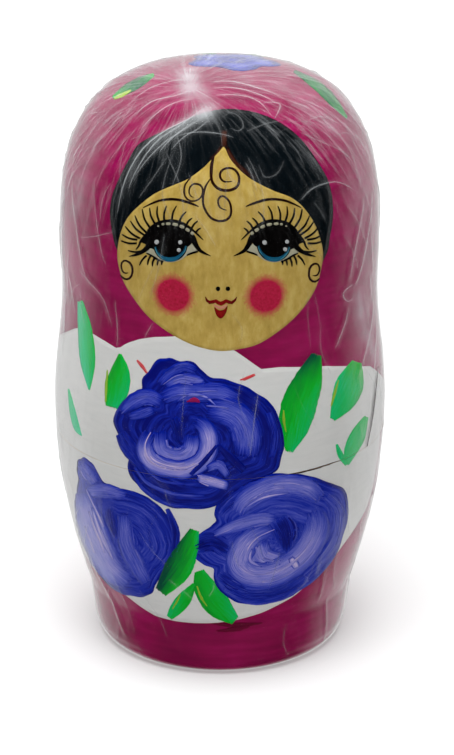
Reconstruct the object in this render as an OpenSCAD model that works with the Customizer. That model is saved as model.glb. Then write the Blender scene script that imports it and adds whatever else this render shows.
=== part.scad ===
// Nesting doll set turned in wood. Six hollow dolls, each in two halves that push
// together on a collar, stand one inside the next round a small solid doll.
// Clear film is drawn tight round the outer doll and slit along its seam.
// The origin is the middle of the outer doll's base, and +Z is up.

/* [Outer doll] */
// Height of the outer doll
doll_height = 180; // [172:1:192]
// Diameter of the belly at its widest
belly_diameter = 100.8; // [97:0.2:106]
// Height of the belly's widest line
belly_height = 76; // [72:1:82]
// Diameter of the neck at its narrowest
neck_diameter = 94.4; // [90:0.2:96]
// Height of the neck's narrowest line above the belly's widest line
neck_rise = 40; // [32:1:43]
// How far the head's widest line stands out past the neck
head_swell = 0.2; // [0.1:0.1:3]
// Height of the head's widest line above the neck's narrowest line
head_rise = 10; // [4:1:18]
// Squareness of the crown, where 2 is a true ellipse
crown_squareness = 2.85; // [2.2:0.05:3.2]

/* [Foot] */
// Diameter of the foot at its top, where the belly starts
foot_diameter = 81.8; // [76:0.2:86]
// Height of the foot
foot_height = 18; // [14:1:22]
// How far the foot's side draws in towards the floor
foot_inset = 2; // [0.4:0.1:3]
// Radius of the rounded edge under the foot
foot_edge = 4.4; // [2:0.2:6]

/* [Joint between the halves] */
// How far the seam lies below the belly's widest line, on the outer doll
seam_drop = 7; // [2:1:14]
// Share of the wall at the joint that the upper half's lip takes; the collar takes the rest
lip_share = 0.5; // [0.4:0.01:0.6]
// Height of the collar on the outer doll
collar_height = 12; // [8:0.5:15]
// Height of the collar on the smallest hollow doll
collar_height_last = 4; // [3:0.5:5]
// Radial clearance between a collar and its socket
fit_clearance = 0.08; // [0.04:0.01:0.15]
// Depth left free in a socket above its collar
socket_relief = 0.6; // [0.3:0.1:1.2]
// Chamfer on the upper edge of a collar
collar_chamfer = 0.5; // [0.2:0.1:0.8]

/* [Inside] */
// Thickness of the floor in the outer doll
floor_wall = 8; // [6:0.5:10]
// Thickness of the floor in the smallest hollow doll
floor_wall_last = 3; // [2:0.5:4]
// Thickness of the crown of the outer doll
crown_wall = 12; // [9:0.5:15]
// Thickness of the crown of the smallest hollow doll
crown_wall_last = 4; // [3:0.5:5]
// Size of the second doll as a share of the outer one
nest_share = 0.813; // [0.79:0.001:0.825]
// Size of the solid doll as a share of the hollow one round it
last_nest_share = 0.727; // [0.7:0.001:0.745]
// Radial room left round the second doll
nest_gap = 2.8; // [1.6:0.2:3.6]
// Radial room left round the solid doll
nest_gap_last = 1.2; // [0.8:0.1:1.6]
// Radius of the corner between the wall and the floor, on the outer doll
floor_corner = 3; // [2:0.5:4]

/* [Film] */
// Thickness of the film
film_wall = 0.2; // [0.1:0.05:0.4]
// Distance between the film and the wood
film_standoff = 0.2; // [0.15:0.05:0.5]
// Width of the slit in the film along the seam
film_slit = 0.4; // [0.2:0.1:1]
// Height of the film's hem above the floor
film_hem = 0.8; // [0.4:0.1:2]

/* [Hidden] */

$fn = 180;
hollow_count = 6;
edge_steps = 6;
side_steps = 10;
head_steps = 3;
crown_steps = 22;
// Closest that an outline point comes to a cut
point_spacing = 0.2;
// How far a cutting shape runs past what it cuts
overrun = 2;

belly_radius = belly_diameter / 2;
neck_radius = neck_diameter / 2;
head_radius = neck_radius + head_swell;
foot_radius = foot_diameter / 2;
neck_height = belly_height + neck_rise;
head_height = neck_height + head_rise;
seam_height = belly_height - seam_drop;
widest_radius = max(belly_radius, neck_radius, head_radius, foot_radius);

// Outline of the outer doll: a slow start and finish between two stations
function ease(t) = (1 - cos(180 * t)) / 2;

function foot_side(z) = foot_radius - foot_inset * (foot_height - z) / foot_height;

function belly_side(z) =
    let (t = (belly_height - z) / (belly_height - foot_height))
    belly_radius - (belly_radius - foot_radius) * t * t;

function shoulder_side(z) =
    belly_radius
    + (neck_radius - belly_radius) * ease((z - belly_height) / (neck_height - belly_height));

function cheek_side(z) =
    neck_radius
    + (head_radius - neck_radius) * ease((z - neck_height) / (head_height - neck_height));

function crown_side(z) =
    let (t = (z - head_height) / (doll_height - head_height))
    head_radius * pow(1 - pow(t, crown_squareness), 1 / crown_squareness);

// Radius of the outer doll at a height above the rounded edge of its foot
function side_radius(z) =
    z < foot_height ? foot_side(z)
    : z < belly_height ? belly_side(z)
    : z < neck_height ? shoulder_side(z)
    : z < head_height ? cheek_side(z)
    : crown_side(z);

// Half of the outer doll's outline, from the middle of the base to the top of the crown
outline = concat(
    [[0, 0]],
    [for (i = [0:edge_steps])
        let (a = 90 * i / edge_steps)
        [foot_side(foot_edge) - foot_edge + foot_edge * sin(a), foot_edge * (1 - cos(a))]],
    [for (i = [0:side_steps - 1])
        let (z = foot_height + (belly_height - foot_height) * i / side_steps)
        [side_radius(z), z]],
    [for (i = [0:side_steps - 1])
        let (z = belly_height + (neck_height - belly_height) * i / side_steps)
        [side_radius(z), z]],
    [for (i = [0:head_steps - 1])
        let (z = neck_height + (head_height - neck_height) * i / head_steps)
        [side_radius(z), z]],
    [for (i = [0:crown_steps - 1])
        let (a = 90 * i / crown_steps)
        [head_radius * pow(cos(a), 2 / crown_squareness),
         head_height + (doll_height - head_height) * pow(sin(a), 2 / crown_squareness)]],
    [[0, doll_height]]
);

// Sizes of each doll, counted from the outer one
function stepped(first, last, k) = first + (last - first) * k / (hollow_count - 1);
function collar_rise(k) = stepped(collar_height, collar_height_last, k);
function floor_of(k) = stepped(floor_wall, floor_wall_last, k);
function crown_of(k) = stepped(crown_wall, crown_wall_last, k);
function room_round(k) = stepped(nest_gap, nest_gap_last, k);

function share_of(k) = stepped(nest_share, last_nest_share, k);

function scale_of(k) = k == 0 ? 1 : scale_of(k - 1) * share_of(k - 1);
function base_of(k) = k == 0 ? 0 : base_of(k - 1) + floor_of(k - 1);
function top_of(k) = base_of(k) + scale_of(k) * doll_height;
function seam_of(k) = base_of(k) + scale_of(k) * seam_height;
function seam_radius(k) = scale_of(k) * side_radius(seam_height);
function mouth_radius(k) = scale_of(k + 1) * belly_radius + room_round(k);
function socket_radius(k) = seam_radius(k) - lip_share * (seam_radius(k) - mouth_radius(k));
function collar_radius(k) = socket_radius(k) - fit_clearance;
function socket_depth(k) = collar_rise(k) + socket_relief;

function outline_of(k) = [for (p = outline) scale_of(k) * p + [0, base_of(k)]];

// Radius of the hollow in doll k that follows the outside at a height of the outer doll
function hollow_radius(k, z) = mouth_radius(k) * side_radius(z) / side_radius(seam_height);

// How far the hollow of an upper half is squeezed, to leave the crown its thickness
function hollow_squeeze(k) = (top_of(k) - crown_of(k) - seam_of(k)) / (top_of(k) - seam_of(k));

// Height in the upper hollow that stands for a height of the outer doll
function hollow_height(k, z) =
    seam_of(k) + scale_of(k) * (z - seam_height) * hollow_squeeze(k);

module turned(points) {
    rotate_extrude() polygon(points);
}

// A lower half: foot, belly, shoulder, collar and a bowl with a flat floor
module lower_half(k) {
    s = scale_of(k);
    seam = seam_of(k);
    rim = seam + collar_rise(k);
    floor_z = base_of(k) + floor_of(k);
    corner = s * floor_corner;
    corner_z = floor_z + corner;
    corner_radius = hollow_radius(k, (corner_z - base_of(k)) / s) - corner;
    outside = [for (p = outline_of(k)) if (p.y < seam - point_spacing) p];
    joint = [
        [seam_radius(k), seam],
        [collar_radius(k), seam],
        [collar_radius(k), rim - collar_chamfer],
        [collar_radius(k) - collar_chamfer, rim],
        [mouth_radius(k), rim],
        [mouth_radius(k), seam],
    ];
    bowl = [
        for (i = [len(outline) - 1:-1:0])
            let (z = base_of(k) + s * outline[i].y)
            if (z < seam - point_spacing && z > corner_z + point_spacing)
                [hollow_radius(k, outline[i].y), z]
    ];
    floor_edge = [
        for (i = [0:edge_steps])
            let (a = 90 * i / edge_steps)
            [corner_radius + corner * cos(a), corner_z - corner * sin(a)]
    ];
    color("mediumvioletred")
        turned(concat(outside, joint, bowl, floor_edge, [[0, floor_z]]));
}

// An upper half: belly, neck, head and crown, hollow above the socket for the collar
module upper_half(k) {
    seam = seam_of(k);
    step_z = seam + socket_depth(k);
    step_on_outer = seam_height + socket_depth(k) / (scale_of(k) * hollow_squeeze(k));
    outside = [for (p = outline_of(k)) if (p.y > seam + point_spacing) p];
    hollow = [
        for (i = [len(outline) - 2:-1:0])
            let (z = hollow_height(k, outline[i].y))
            if (z > step_z + point_spacing)
                [outline[i].x * mouth_radius(k) / side_radius(seam_height), z]
    ];
    socket = [
        [hollow_radius(k, step_on_outer), step_z],
        [socket_radius(k), step_z],
        [socket_radius(k), seam],
        [seam_radius(k), seam],
    ];
    color("palevioletred")
        turned(concat(outside, [[0, top_of(k) - crown_of(k)]], hollow, socket));
}

// The smallest doll, turned from one piece
module solid_doll() {
    color("orchid") turned(outline_of(hollow_count));
}

// The outer doll's outline moved out by a distance
function moved_out(distance) =
    let (last = len(outline) - 1)
    concat(
        [[0, -distance]],
        [for (i = [1:last - 1])
            let (
                along = outline[i + 1] - outline[i - 1],
                away = [along.y, -along.x] / norm(along)
            )
            outline[i] + distance * away],
        [[0, doll_height + distance]]
    );

// A band of film round the outer doll between two heights
module film_band(low, high) {
    rotate_extrude()
        intersection() {
            difference() {
                polygon(moved_out(film_standoff + film_wall));
                polygon(moved_out(film_standoff));
            }
            translate([0, low]) square([widest_radius + overrun, high - low]);
        }
}

module film_lower() {
    color("whitesmoke", 0.3) film_band(film_hem, seam_height - film_slit / 2);
}

module film_upper() {
    color("whitesmoke", 0.3) film_band(seam_height + film_slit / 2, doll_height + overrun);
}

lower_half(0);  // outer_lower_half
lower_half(1);  // second_lower_half
lower_half(2);  // third_lower_half
lower_half(3);  // fourth_lower_half
lower_half(4);  // fifth_lower_half
lower_half(5);  // sixth_lower_half
solid_doll();
upper_half(5);  // sixth_upper_half
upper_half(4);  // fifth_upper_half
upper_half(3);  // fourth_upper_half
upper_half(2);  // third_upper_half
upper_half(1);  // second_upper_half
upper_half(0);  // outer_upper_half
film_lower();
film_upper();
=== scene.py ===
import math

import bmesh
import bpy
import numpy as np
from mathutils import Matrix, Vector, noise
from mathutils.bvhtree import BVHTree


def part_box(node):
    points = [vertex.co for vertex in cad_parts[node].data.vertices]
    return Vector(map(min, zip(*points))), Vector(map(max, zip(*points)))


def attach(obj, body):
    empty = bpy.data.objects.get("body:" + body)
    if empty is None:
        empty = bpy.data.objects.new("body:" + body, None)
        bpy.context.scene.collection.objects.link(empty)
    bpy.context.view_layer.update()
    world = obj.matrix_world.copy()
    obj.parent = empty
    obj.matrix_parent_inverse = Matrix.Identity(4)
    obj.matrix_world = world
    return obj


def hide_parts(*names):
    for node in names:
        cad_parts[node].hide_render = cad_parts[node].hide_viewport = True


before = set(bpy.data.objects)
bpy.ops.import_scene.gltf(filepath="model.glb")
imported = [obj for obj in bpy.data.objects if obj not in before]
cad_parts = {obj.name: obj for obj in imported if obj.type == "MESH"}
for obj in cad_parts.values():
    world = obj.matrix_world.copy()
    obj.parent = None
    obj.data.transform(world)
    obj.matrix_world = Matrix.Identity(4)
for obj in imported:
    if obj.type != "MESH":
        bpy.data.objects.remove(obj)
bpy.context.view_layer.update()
mm = 0.001
print("frame loaded:", len(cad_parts), "nodes")

# Camera, matched to the photograph
photoView = {
    "width": 454,  # pixels
    "height": 755,
    "focal": 1992,  # focal length in pixels
    "pixelSize": 0.285 * mm,  # what one pixel covers on the doll's front
    "distance": 613 * mm,
    "pitch": math.radians(19.7),
    "aimHeight": 82 * mm,
    "sideways": 2.15 * mm,  # the doll stands a little left of the middle
}


def makeCamera():
    lens = bpy.data.cameras.new("photo_camera")
    lens.lens = lens.sensor_width * photoView["focal"] / photoView["height"]
    made = bpy.data.objects.new("photo_camera", lens)
    pitch = photoView["pitch"]
    aim = Vector((photoView["sideways"], 0, photoView["aimHeight"]))
    made.location = aim + Vector((0, -math.cos(pitch), math.sin(pitch))) * photoView["distance"]
    made.rotation_euler = (math.pi / 2 - pitch, 0, 0)
    bpy.context.collection.objects.link(made)
    bpy.context.scene.camera = made
    return made


camera = makeCamera()


def throughPixel(pixel):
    across = (pixel[0] - photoView["width"] / 2) / photoView["focal"]
    upward = (photoView["height"] / 2 - pixel[1]) / photoView["focal"]
    return (camera.rotation_euler.to_matrix() @ Vector((across, upward, -1))).normalized()


# Turned outline that every doll shares, in millimetres of the outer doll
dollShape = {
    "bellyRadius": 50.4,
    "bellyHeight": 76,
    "neckRadius": 47.2,
    "neckHeight": 116,
    "headRadius": 47.4,
    "headHeight": 126,
    "crownSquareness": 2.85,  # 2 would be an ellipse
    "footRadius": 40.9,
    "footHeight": 18,
    "footTaper": 2,
    "footEdge": 4.4,
    "seamEase": 0.22,  # softened edge on both sides of the seam
    "footSteps": 8,  # points on the foot's rounded edge
    "crownLength": 95,  # along the crown's curve
    "outlineStep": 2,  # between the outline's points
    "turnSteps": 144,
    "sectors": 16,  # a turned shape is spun as one sector, then copied round
    "sharpAngle": 30,  # degrees, sharper edges stay crisp
}
mergeGap = 0.001 * mm
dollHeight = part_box("outer_upper_half")[1].z
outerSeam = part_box("outer_upper_half")[0].z


def easeBetween(low, high, share):
    return low + (high - low) * (1 - math.cos(math.pi * share)) / 2


def sideRadius(z):  # outer doll's radius at a height, both in millimetres
    s = dollShape
    if z < s["footEdge"]:
        flat = s["footRadius"] - s["footTaper"] - s["footEdge"]
        return flat + math.sqrt(max(s["footEdge"] ** 2 - (s["footEdge"] - z) ** 2, 0))
    if z < s["footHeight"]:
        return s["footRadius"] - s["footTaper"] * (s["footHeight"] - z) / s["footHeight"]
    if z < s["bellyHeight"]:
        drop = (s["bellyHeight"] - z) / (s["bellyHeight"] - s["footHeight"])
        return s["bellyRadius"] - (s["bellyRadius"] - s["footRadius"]) * drop ** 2
    if z < s["neckHeight"]:
        share = (z - s["bellyHeight"]) / (s["neckHeight"] - s["bellyHeight"])
        return easeBetween(s["bellyRadius"], s["neckRadius"], share)
    if z < s["headHeight"]:
        share = (z - s["neckHeight"]) / (s["headHeight"] - s["neckHeight"])
        return easeBetween(s["neckRadius"], s["headRadius"], share)
    rise = min((z - s["headHeight"]) / (dollHeight / mm - s["headHeight"]), 1)
    return s["headRadius"] * (1 - rise ** s["crownSquareness"]) ** (1 / s["crownSquareness"])


def crownPoint(turn):  # point on the crown's curve, turn from 0 at the head's side to 1 on top
    power = 2 / dollShape["crownSquareness"]
    angle = turn * math.pi / 2
    rise = dollHeight / mm - dollShape["headHeight"]
    return (dollShape["headRadius"] * max(math.cos(angle), 0) ** power,
            dollShape["headHeight"] + rise * math.sin(angle) ** power)


def outlineOf(step):  # half outline as (radius, height) in metres, points about a step apart
    foot = dollShape["footEdge"]
    footSteps = dollShape["footSteps"]
    bend = [foot * (1 - math.cos(math.pi / 2 * i / footSteps)) for i in range(footSteps + 1)]
    points = [(0, 0)] + [(sideRadius(z), z) for z in bend]
    stations = [foot, dollShape["footHeight"], outerSeam / mm, dollShape["headHeight"]]
    for low, high in zip(stations, stations[1:]):
        count = round((high - low) * mm / step)
        heights = [low + (high - low) * i / count for i in range(1, count + 1)]
        points += [(sideRadius(z), z) for z in heights]
    count = round(dollShape["crownLength"] * mm / step)
    points += [crownPoint(i / count) for i in range(1, count + 1)]
    return [(r * mm, z * mm) for r, z in points]


def spinStrip(bm, points, finish, steps=dollShape["turnSteps"]):  # turns (radius, height) points
    known = set(bm.faces)
    sectors = dollShape["sectors"]
    about = {"cent": (0, 0, 0), "axis": (0, 0, 1)}
    verts = [bm.verts.new((r, 0, z)) for r, z in points]
    edges = [bm.edges.new(pair) for pair in zip(verts, verts[1:])]
    bmesh.ops.spin(bm, geom=verts + edges, angle=math.tau / sectors, steps=steps // sectors, **about)
    sector = [face for face in bm.faces if face not in known]
    geom = list(dict.fromkeys(part for face in sector for part in (face, *face.edges, *face.verts)))
    bmesh.ops.spin(bm, geom=geom, angle=math.tau * (1 - 1 / sectors), steps=sectors - 1,
                   use_duplicate=True, **about)
    for face in bm.faces:
        if face not in known:
            face.material_index = finish


def closeSpin(bm):
    bmesh.ops.remove_doubles(bm, verts=bm.verts, dist=mergeGap)
    bmesh.ops.recalc_face_normals(bm, faces=bm.faces)
    for face in bm.faces:
        face.smooth = True
    for edge in bm.edges:
        if edge.is_manifold and edge.calc_face_angle() > math.radians(dollShape["sharpAngle"]):
            edge.smooth = False


# Skin of the outer doll, which paint and film are laid on
outline = outlineOf(dollShape["outlineStep"] * mm)


def makeSkin():
    bm = bmesh.new()
    spinStrip(bm, outline, 0)
    closeSpin(bm)
    ordered = sorted(bm.faces, key=lambda face: tuple(face.calc_center_median()))
    for i, face in enumerate(ordered):  # spin's own order changes from run to run
        face.index = i
    bm.faces.sort()
    tree = BVHTree.FromBMesh(bm)
    bm.free()
    return tree


skin = makeSkin()
print("skin ready:", len(outline), "points in the outline")


def onPhoto(pixel):  # point of the doll that the photograph shows at a pixel
    ray = throughPixel(pixel)
    found = skin.ray_cast(camera.location, ray)[0]
    if found is None:  # just past the doll's edge
        found = skin.find_nearest(camera.location + ray * photoView["distance"])[0]
    return found


def onSide(angle, height):  # angle in degrees from the front, to the right; height in millimetres
    turn = math.radians(angle)
    reach = sideRadius(height) * mm
    return Vector((reach * math.sin(turn), -reach * math.cos(turn), height * mm))


def alongCurve(points, share, closed=False):  # smooth curve through points
    count = len(points)
    parts = count if closed else count - 1
    place = min(max(share, 0), 1) * parts
    i = min(int(place), parts - 1)
    t = place - i
    if closed:
        a, b, c, d = (points[(i + k) % count] for k in (-1, 0, 1, 2))
    else:
        a, b, c, d = (points[min(max(i + k, 0), count - 1)] for k in (-1, 0, 1, 2))
    return (b * 2 + (c - a) * t + (a * 2 - b * 5 + c * 4 - d) * t ** 2
            + (b * 3 - a - c * 3 + d) * t ** 3) / 2


# Paint lies in thin layers, numbered from the wood up
paintLayers = {"first": 0.03 * mm, "step": 0.018 * mm, "under": -0.02 * mm}
layerOf = {
    "apron": 0, "seamShade": 1, "hair": 1, "parting": 1.5, "face": 2, "redMark": 2, "bandSmear": 2,
    "crownLeaf": 2, "sprig": 3, "nose": 4, "lipGap": 4, "lip": 5, "curl": 4, "brow": 4, "eyeWhite": 4,
    "almond": 5, "iris": 6, "lash": 6.5, "eyeLine": 7, "crescent": 7, "glow": 8, "dash": 8, "glint": 9,
    "rose": 4, "roseSmear": 12.6,
}


def laid(point, layer):  # a point moved onto the doll, on a layer of paint
    spot, normal = skin.find_nearest(point)[:2]
    return spot + normal * (paintLayers["first"] + paintLayers["step"] * layer)


# Colours are written as on screen and turned into light
def colour(code):
    parts = [int(code[i:i + 2], 16) / 255 for i in (1, 3, 5)]
    return tuple(p / 12.92 if p <= 0.04045 else ((p + 0.055) / 1.055) ** 2.4 for p in parts) + (1,)


def newFinish(name, roughness, gloss):
    material = bpy.data.materials.new(name)
    material.use_nodes = True
    shader = material.node_tree.nodes["Principled BSDF"]
    shader.inputs["Roughness"].default_value = roughness
    shader.inputs["Specular IOR Level"].default_value = gloss
    return material, material.node_tree, shader


def addNode(tree, kind, inputs=None, **settings):
    node = tree.nodes.new(kind)
    for name, value in settings.items():
        setattr(node, name, value)
    for name, value in (inputs or {}).items():
        if isinstance(value, bpy.types.NodeSocket):
            tree.links.new(value, node.inputs[name])
        else:
            node.inputs[name].default_value = value
    return node


def addRamp(tree, value, stops):
    node = addNode(tree, "ShaderNodeValToRGB", {"Fac": value})
    marks = node.color_ramp.elements
    while len(marks) < len(stops):
        marks.new(0.5)
    for mark, (place, code) in zip(marks, stops):
        mark.position = place
        mark.color = colour(code)
    return node.outputs["Color"]


def addMath(tree, operation, first, second, clamp=False):
    node = addNode(tree, "ShaderNodeMath", {0: first, 1: second}, operation=operation, use_clamp=clamp)
    return node.outputs[0]


def addMix(tree, share, first, second):
    node = addNode(tree, "ShaderNodeMix", {"Factor": share, "A": first, "B": second}, data_type="RGBA")
    return node.outputs["Result"]


def addSwing(tree, value, times):  # noise turned into a swing about zero
    return addMath(tree, "MULTIPLY", addMath(tree, "SUBTRACT", value, 0.5), times)


def addAbove(tree, value, level, times, clamp=False):  # what stands above a level, made stronger
    return addMath(tree, "MULTIPLY", addMath(tree, "SUBTRACT", value, level, True), times, clamp)


def addBlend(tree, first, second, share):  # a share of the first and the rest of the second
    return addMath(tree, "ADD", addMath(tree, "MULTIPLY", first, share),
                   addMath(tree, "MULTIPLY", second, 1 - share))


def readMark(tree, name, kind="Fac"):  # a value painted on the mesh
    return addNode(tree, "ShaderNodeAttribute", attribute_name=name).outputs[kind]


def addNoise(tree, vector, scale=1.0, detail=4.0, rough=0.6):
    return addNode(tree, "ShaderNodeTexNoise",
                   {"Vector": vector, "Scale": scale, "Detail": detail, "Roughness": rough}).outputs["Fac"]


def addStretch(tree, vector, scale):
    return addNode(tree, "ShaderNodeMapping", {"Vector": vector, "Scale": scale}).outputs["Vector"]


def addBump(tree, shader, height, strength, distance):
    bump = addNode(tree, "ShaderNodeBump", {"Height": height, "Strength": strength, "Distance": distance})
    tree.links.new(bump.outputs["Normal"], shader.inputs["Normal"])


# Finishes of wood and paint. dollPlace is a place on the outer doll in metres, the same on every doll
paintGloss = 0.22  # specular level of lacquered paint
shawlPaint = {
    "roughness": 0.24,
    "stops": [(0.3, "#74023c"), (0.5, "#8a0447"), (0.7, "#a00e5a")],
    "strokes": (60, 60, 420),  # brushed round the doll
    "strokeDetail": 5.0,
    "clouds": 45.0,
    "cloudDetail": 3.0,
    "strokeShare": 0.45,
    "bump": (0.25, 0.1 * mm),  # strength and height
}
bareWood = {
    "roughness": 0.62,
    "gloss": 0.4,
    "stops": [(0.25, "#b9935c"), (0.5, "#d9ba86"), (0.75, "#e9d3a6")],
    "grain": (500, 500, 40),
    "grainDetail": 6.0,
    "turned": (4, 4, 900),  # marks of the turning tool
    "turnedDetail": 2.0,
    "grainShare": 0.6,
    "bump": (0.3, 0.2 * mm),
}
faceWood = {
    "roughness": 0.26,
    "stops": [(0.25, "#9b8036"), (0.5, "#b5994a"), (0.72, "#c6ae63")],
    "grain": (380, 380, 160),
    "grainDetail": 7.0,
    "grainRough": 0.7,
    "flecks": (900, 900, 1600),
    "fleckDetail": 2.0,
    "fleckLevel": 0.66,
    "fleckStrength": 2.2,
    "fleckColour": "#6d5626",
    "dabs": 1500.0,
    "dabDetail": 3.0,
    "dabSwing": 1.2,  # breaks up the edge of the blush
    "leastMilk": 0.001,  # no blush below this
    "blushLevel": 0.12,
    "blushStrength": 1.35,
    "blushStops": [(0.3, "#960828"), (0.6, "#b51340")],
    "bump": (0.15, 0.1 * mm),
}
pigment = {"roughness": 0.24, "hairDetail": 5.0, "hairRough": 0.65, "bump": (0.35, 0.1 * mm)}


def makeShawlPaint():
    look = shawlPaint
    material, tree, shader = newFinish("shawl_paint", look["roughness"], paintGloss)
    place = readMark(tree, "dollPlace", "Vector")
    strokes = addNoise(tree, addStretch(tree, place, look["strokes"]), detail=look["strokeDetail"])
    clouds = addNoise(tree, place, look["clouds"], look["cloudDetail"])
    shade = addBlend(tree, strokes, clouds, look["strokeShare"])
    tree.links.new(addRamp(tree, shade, look["stops"]), shader.inputs["Base Color"])
    addBump(tree, shader, strokes, *look["bump"])
    return material


def makeBareWood():
    look = bareWood
    material, tree, shader = newFinish("bare_wood", look["roughness"], look["gloss"])
    place = readMark(tree, "dollPlace", "Vector")
    grain = addNoise(tree, addStretch(tree, place, look["grain"]), detail=look["grainDetail"])
    turned = addNoise(tree, addStretch(tree, place, look["turned"]), detail=look["turnedDetail"])
    shade = addBlend(tree, grain, turned, look["grainShare"])
    tree.links.new(addRamp(tree, shade, look["stops"]), shader.inputs["Base Color"])
    addBump(tree, shader, turned, *look["bump"])
    return material


def makeFaceWood():  # bare varnished wood of the face, with blush dabbed on where milk is above 0
    look = faceWood
    material, tree, shader = newFinish("face_wood", look["roughness"], paintGloss)
    place = readMark(tree, "dollPlace", "Vector")
    grain = addNoise(tree, addStretch(tree, place, look["grain"]), detail=look["grainDetail"],
                     rough=look["grainRough"])
    flecks = addNoise(tree, addStretch(tree, place, look["flecks"]), detail=look["fleckDetail"])
    fleck = addAbove(tree, flecks, look["fleckLevel"], look["fleckStrength"])
    wood = addMix(tree, fleck, addRamp(tree, grain, look["stops"]), colour(look["fleckColour"]))
    dabs = addNoise(tree, place, look["dabs"], look["dabDetail"])
    milk = readMark(tree, "milk")
    speckle = addMath(tree, "MULTIPLY", addSwing(tree, dabs, look["dabSwing"]),
                      addMath(tree, "SUBTRACT", 1.0, milk))
    fuzzy = addMath(tree, "ADD", milk, speckle)
    steep = addAbove(tree, fuzzy, look["blushLevel"], look["blushStrength"], True)
    onlyBlush = addMath(tree, "MULTIPLY", steep, addMath(tree, "GREATER_THAN", milk, look["leastMilk"]))
    blush = addRamp(tree, dabs, look["blushStops"])
    tree.links.new(addMix(tree, onlyBlush, wood, blush), shader.inputs["Base Color"])
    addBump(tree, shader, grain, *look["bump"])
    return material


def makePigment(name, stops, streaks):  # brushed paint, paler where milk is high
    material, tree, shader = newFinish(name, pigment["roughness"], paintGloss)
    hairs = addNoise(tree, readMark(tree, "brush", "Vector"), detail=pigment["hairDetail"],
                     rough=pigment["hairRough"])
    shade = addMath(tree, "ADD", readMark(tree, "milk"), addSwing(tree, hairs, streaks), True)
    tree.links.new(addRamp(tree, shade, stops), shader.inputs["Base Color"])
    addBump(tree, shader, hairs, *pigment["bump"])
    return material


finishes = {
    "apron": makePigment("apron_paint", [(0.2, "#c2c4c2"), (0.5, "#cfcfcd"), (0.8, "#d9d9d6")], 0.5),
    "hair": makePigment("hair_paint", [(0.2, "#03070a"), (0.5, "#070d11"), (0.8, "#10181c")], 0.5),
    "face": makeFaceWood(),
    "ink": makePigment("ink_paint", [(0.2, "#030303"), (0.6, "#080606"), (0.9, "#120c0b")], 0.4),
    "curl": makePigment("curl_paint", [(0.2, "#140502"), (0.5, "#260b05"), (0.9, "#401c0c")], 0.5),
    "white": makePigment("eye_white_paint", [(0.2, "#8f8c74"), (0.5, "#a9a791"), (0.8, "#bdbcaa")], 0.4),
    "glint": makePigment("eye_glint_paint", [(0.2, "#8f9292"), (0.5, "#a8abab"), (0.8, "#b9bcbc")], 0.4),
    "iris": makePigment("iris_paint", [
        (0.1, "#03111b"), (0.5, "#083f58"), (0.75, "#0d5674"), (0.98, "#3f8798")], 0.4),
    "lip": makePigment("lip_paint", [(0.2, "#560805"), (0.5, "#7c0303"), (0.9, "#9a0404")], 0.4),
    "lipPale": makePigment("lip_pale_paint", [(0.2, "#b4775c"), (0.5, "#c3836a"), (0.9, "#cf957c")], 0.4),
    "rose": makePigment("rose_paint", [
        (0.04, "#00086e"), (0.24, "#08229e"), (0.44, "#3a47b4"), (0.64, "#696dc4"), (0.82, "#918ccf"),
        (0.98, "#c4b4d8")], 1.0),
    "leaf": makePigment("leaf_paint", [
        (0.1, "#064a38"), (0.3, "#008a2a"), (0.5, "#00b020"), (0.72, "#00b866"), (0.95, "#2cc79a")], 0.6),
    "sprig": makePigment("leaf_yellow_paint", [(0.2, "#4f9a1c"), (0.5, "#8fb42e"), (0.9, "#c0cc58")], 0.7),
    "red": makePigment("red_paint", [(0.2, "#a8161f"), (0.5, "#c8343c"), (0.8, "#d9b3b0")], 0.9),
    "smear": makePigment("smear_paint", [(0.2, "#4c0222"), (0.5, "#6e0430"), (0.9, "#8a1450")], 0.7),
}
shellFinishes = [makeShawlPaint(), makeBareWood()]
finishOrder = list(finishes)
print("finishes ready:", len(finishes) + len(shellFinishes))


# Dabs of paint. Every dab is a grid that is laid on the doll, with brush and milk marked on it
brushLook = {
    "step": 0.9 * mm,  # along a stroke
    "stepRange": (6, 60),
    "lengthParts": 8,  # a stroke's length is measured in these
    "lookAhead": 0.02,  # share of a stroke that tells which way it runs
    "milk": 0.5,  # where a dab gives none
    "hairLength": 6 * mm,
    "hairWidth": 0.28 * mm,
    "frayHairs": 5,  # across a frayed end
    "wobbles": (22, 2),  # along and across a ragged side
    "edgePower": 2.4,
    "endFade": 6,
    "cell": 1.8 * mm,  # of a patch
    "leastSpokes": 16,
    "leastRings": 2,
    "rimWobbles": 6,
    "ringWidth": 1.1 * mm,  # hair marks that run round a patch
    "ringTurn": 1.6,
    "seedStep": 7.3,  # keeps the noise of the dabs apart
    "mergeGap": 0.0001 * mm,
}


def startPainting():
    bm = bmesh.new()
    return {"bm": bm, "brush": bm.verts.layers.float_vector.new("brush"),
            "milk": bm.verts.layers.float.new("milk"), "count": 0}


def settle(painting, verts, finish):  # gives a dab its finish and an edge down to the wood
    bm = painting["bm"]
    faces = list(dict.fromkeys(f for vert in verts if vert.is_valid for f in vert.link_faces))
    for face in faces:
        face.normal_update()
    turned = [f for f in faces if f.normal.dot(skin.find_nearest(f.calc_center_median())[1]) < 0]
    bmesh.ops.reverse_faces(bm, faces=turned)
    rim = list(dict.fromkeys(edge for face in faces for edge in face.edges if edge.is_boundary))
    skirt = bmesh.ops.extrude_edge_only(bm, edges=rim)["geom"]
    for vert in (v for v in skirt if isinstance(v, bmesh.types.BMVert)):
        spot, normal = skin.find_nearest(vert.co)[:2]
        vert.co = spot + normal * paintLayers["under"]
    faces += [f for f in skirt if isinstance(f, bmesh.types.BMFace)]
    for face in faces:
        face.material_index = finishOrder.index(finish)
        face.smooth = True
    painting["count"] += 1


def smoothValue(values, share):  # values spread evenly along a stroke
    return values[0] if len(values) == 1 else alongCurve(values, share)


def headingAt(path, share):
    near = brushLook["lookAhead"]
    return alongCurve(path, share + near) - alongCurve(path, share - near)


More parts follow.
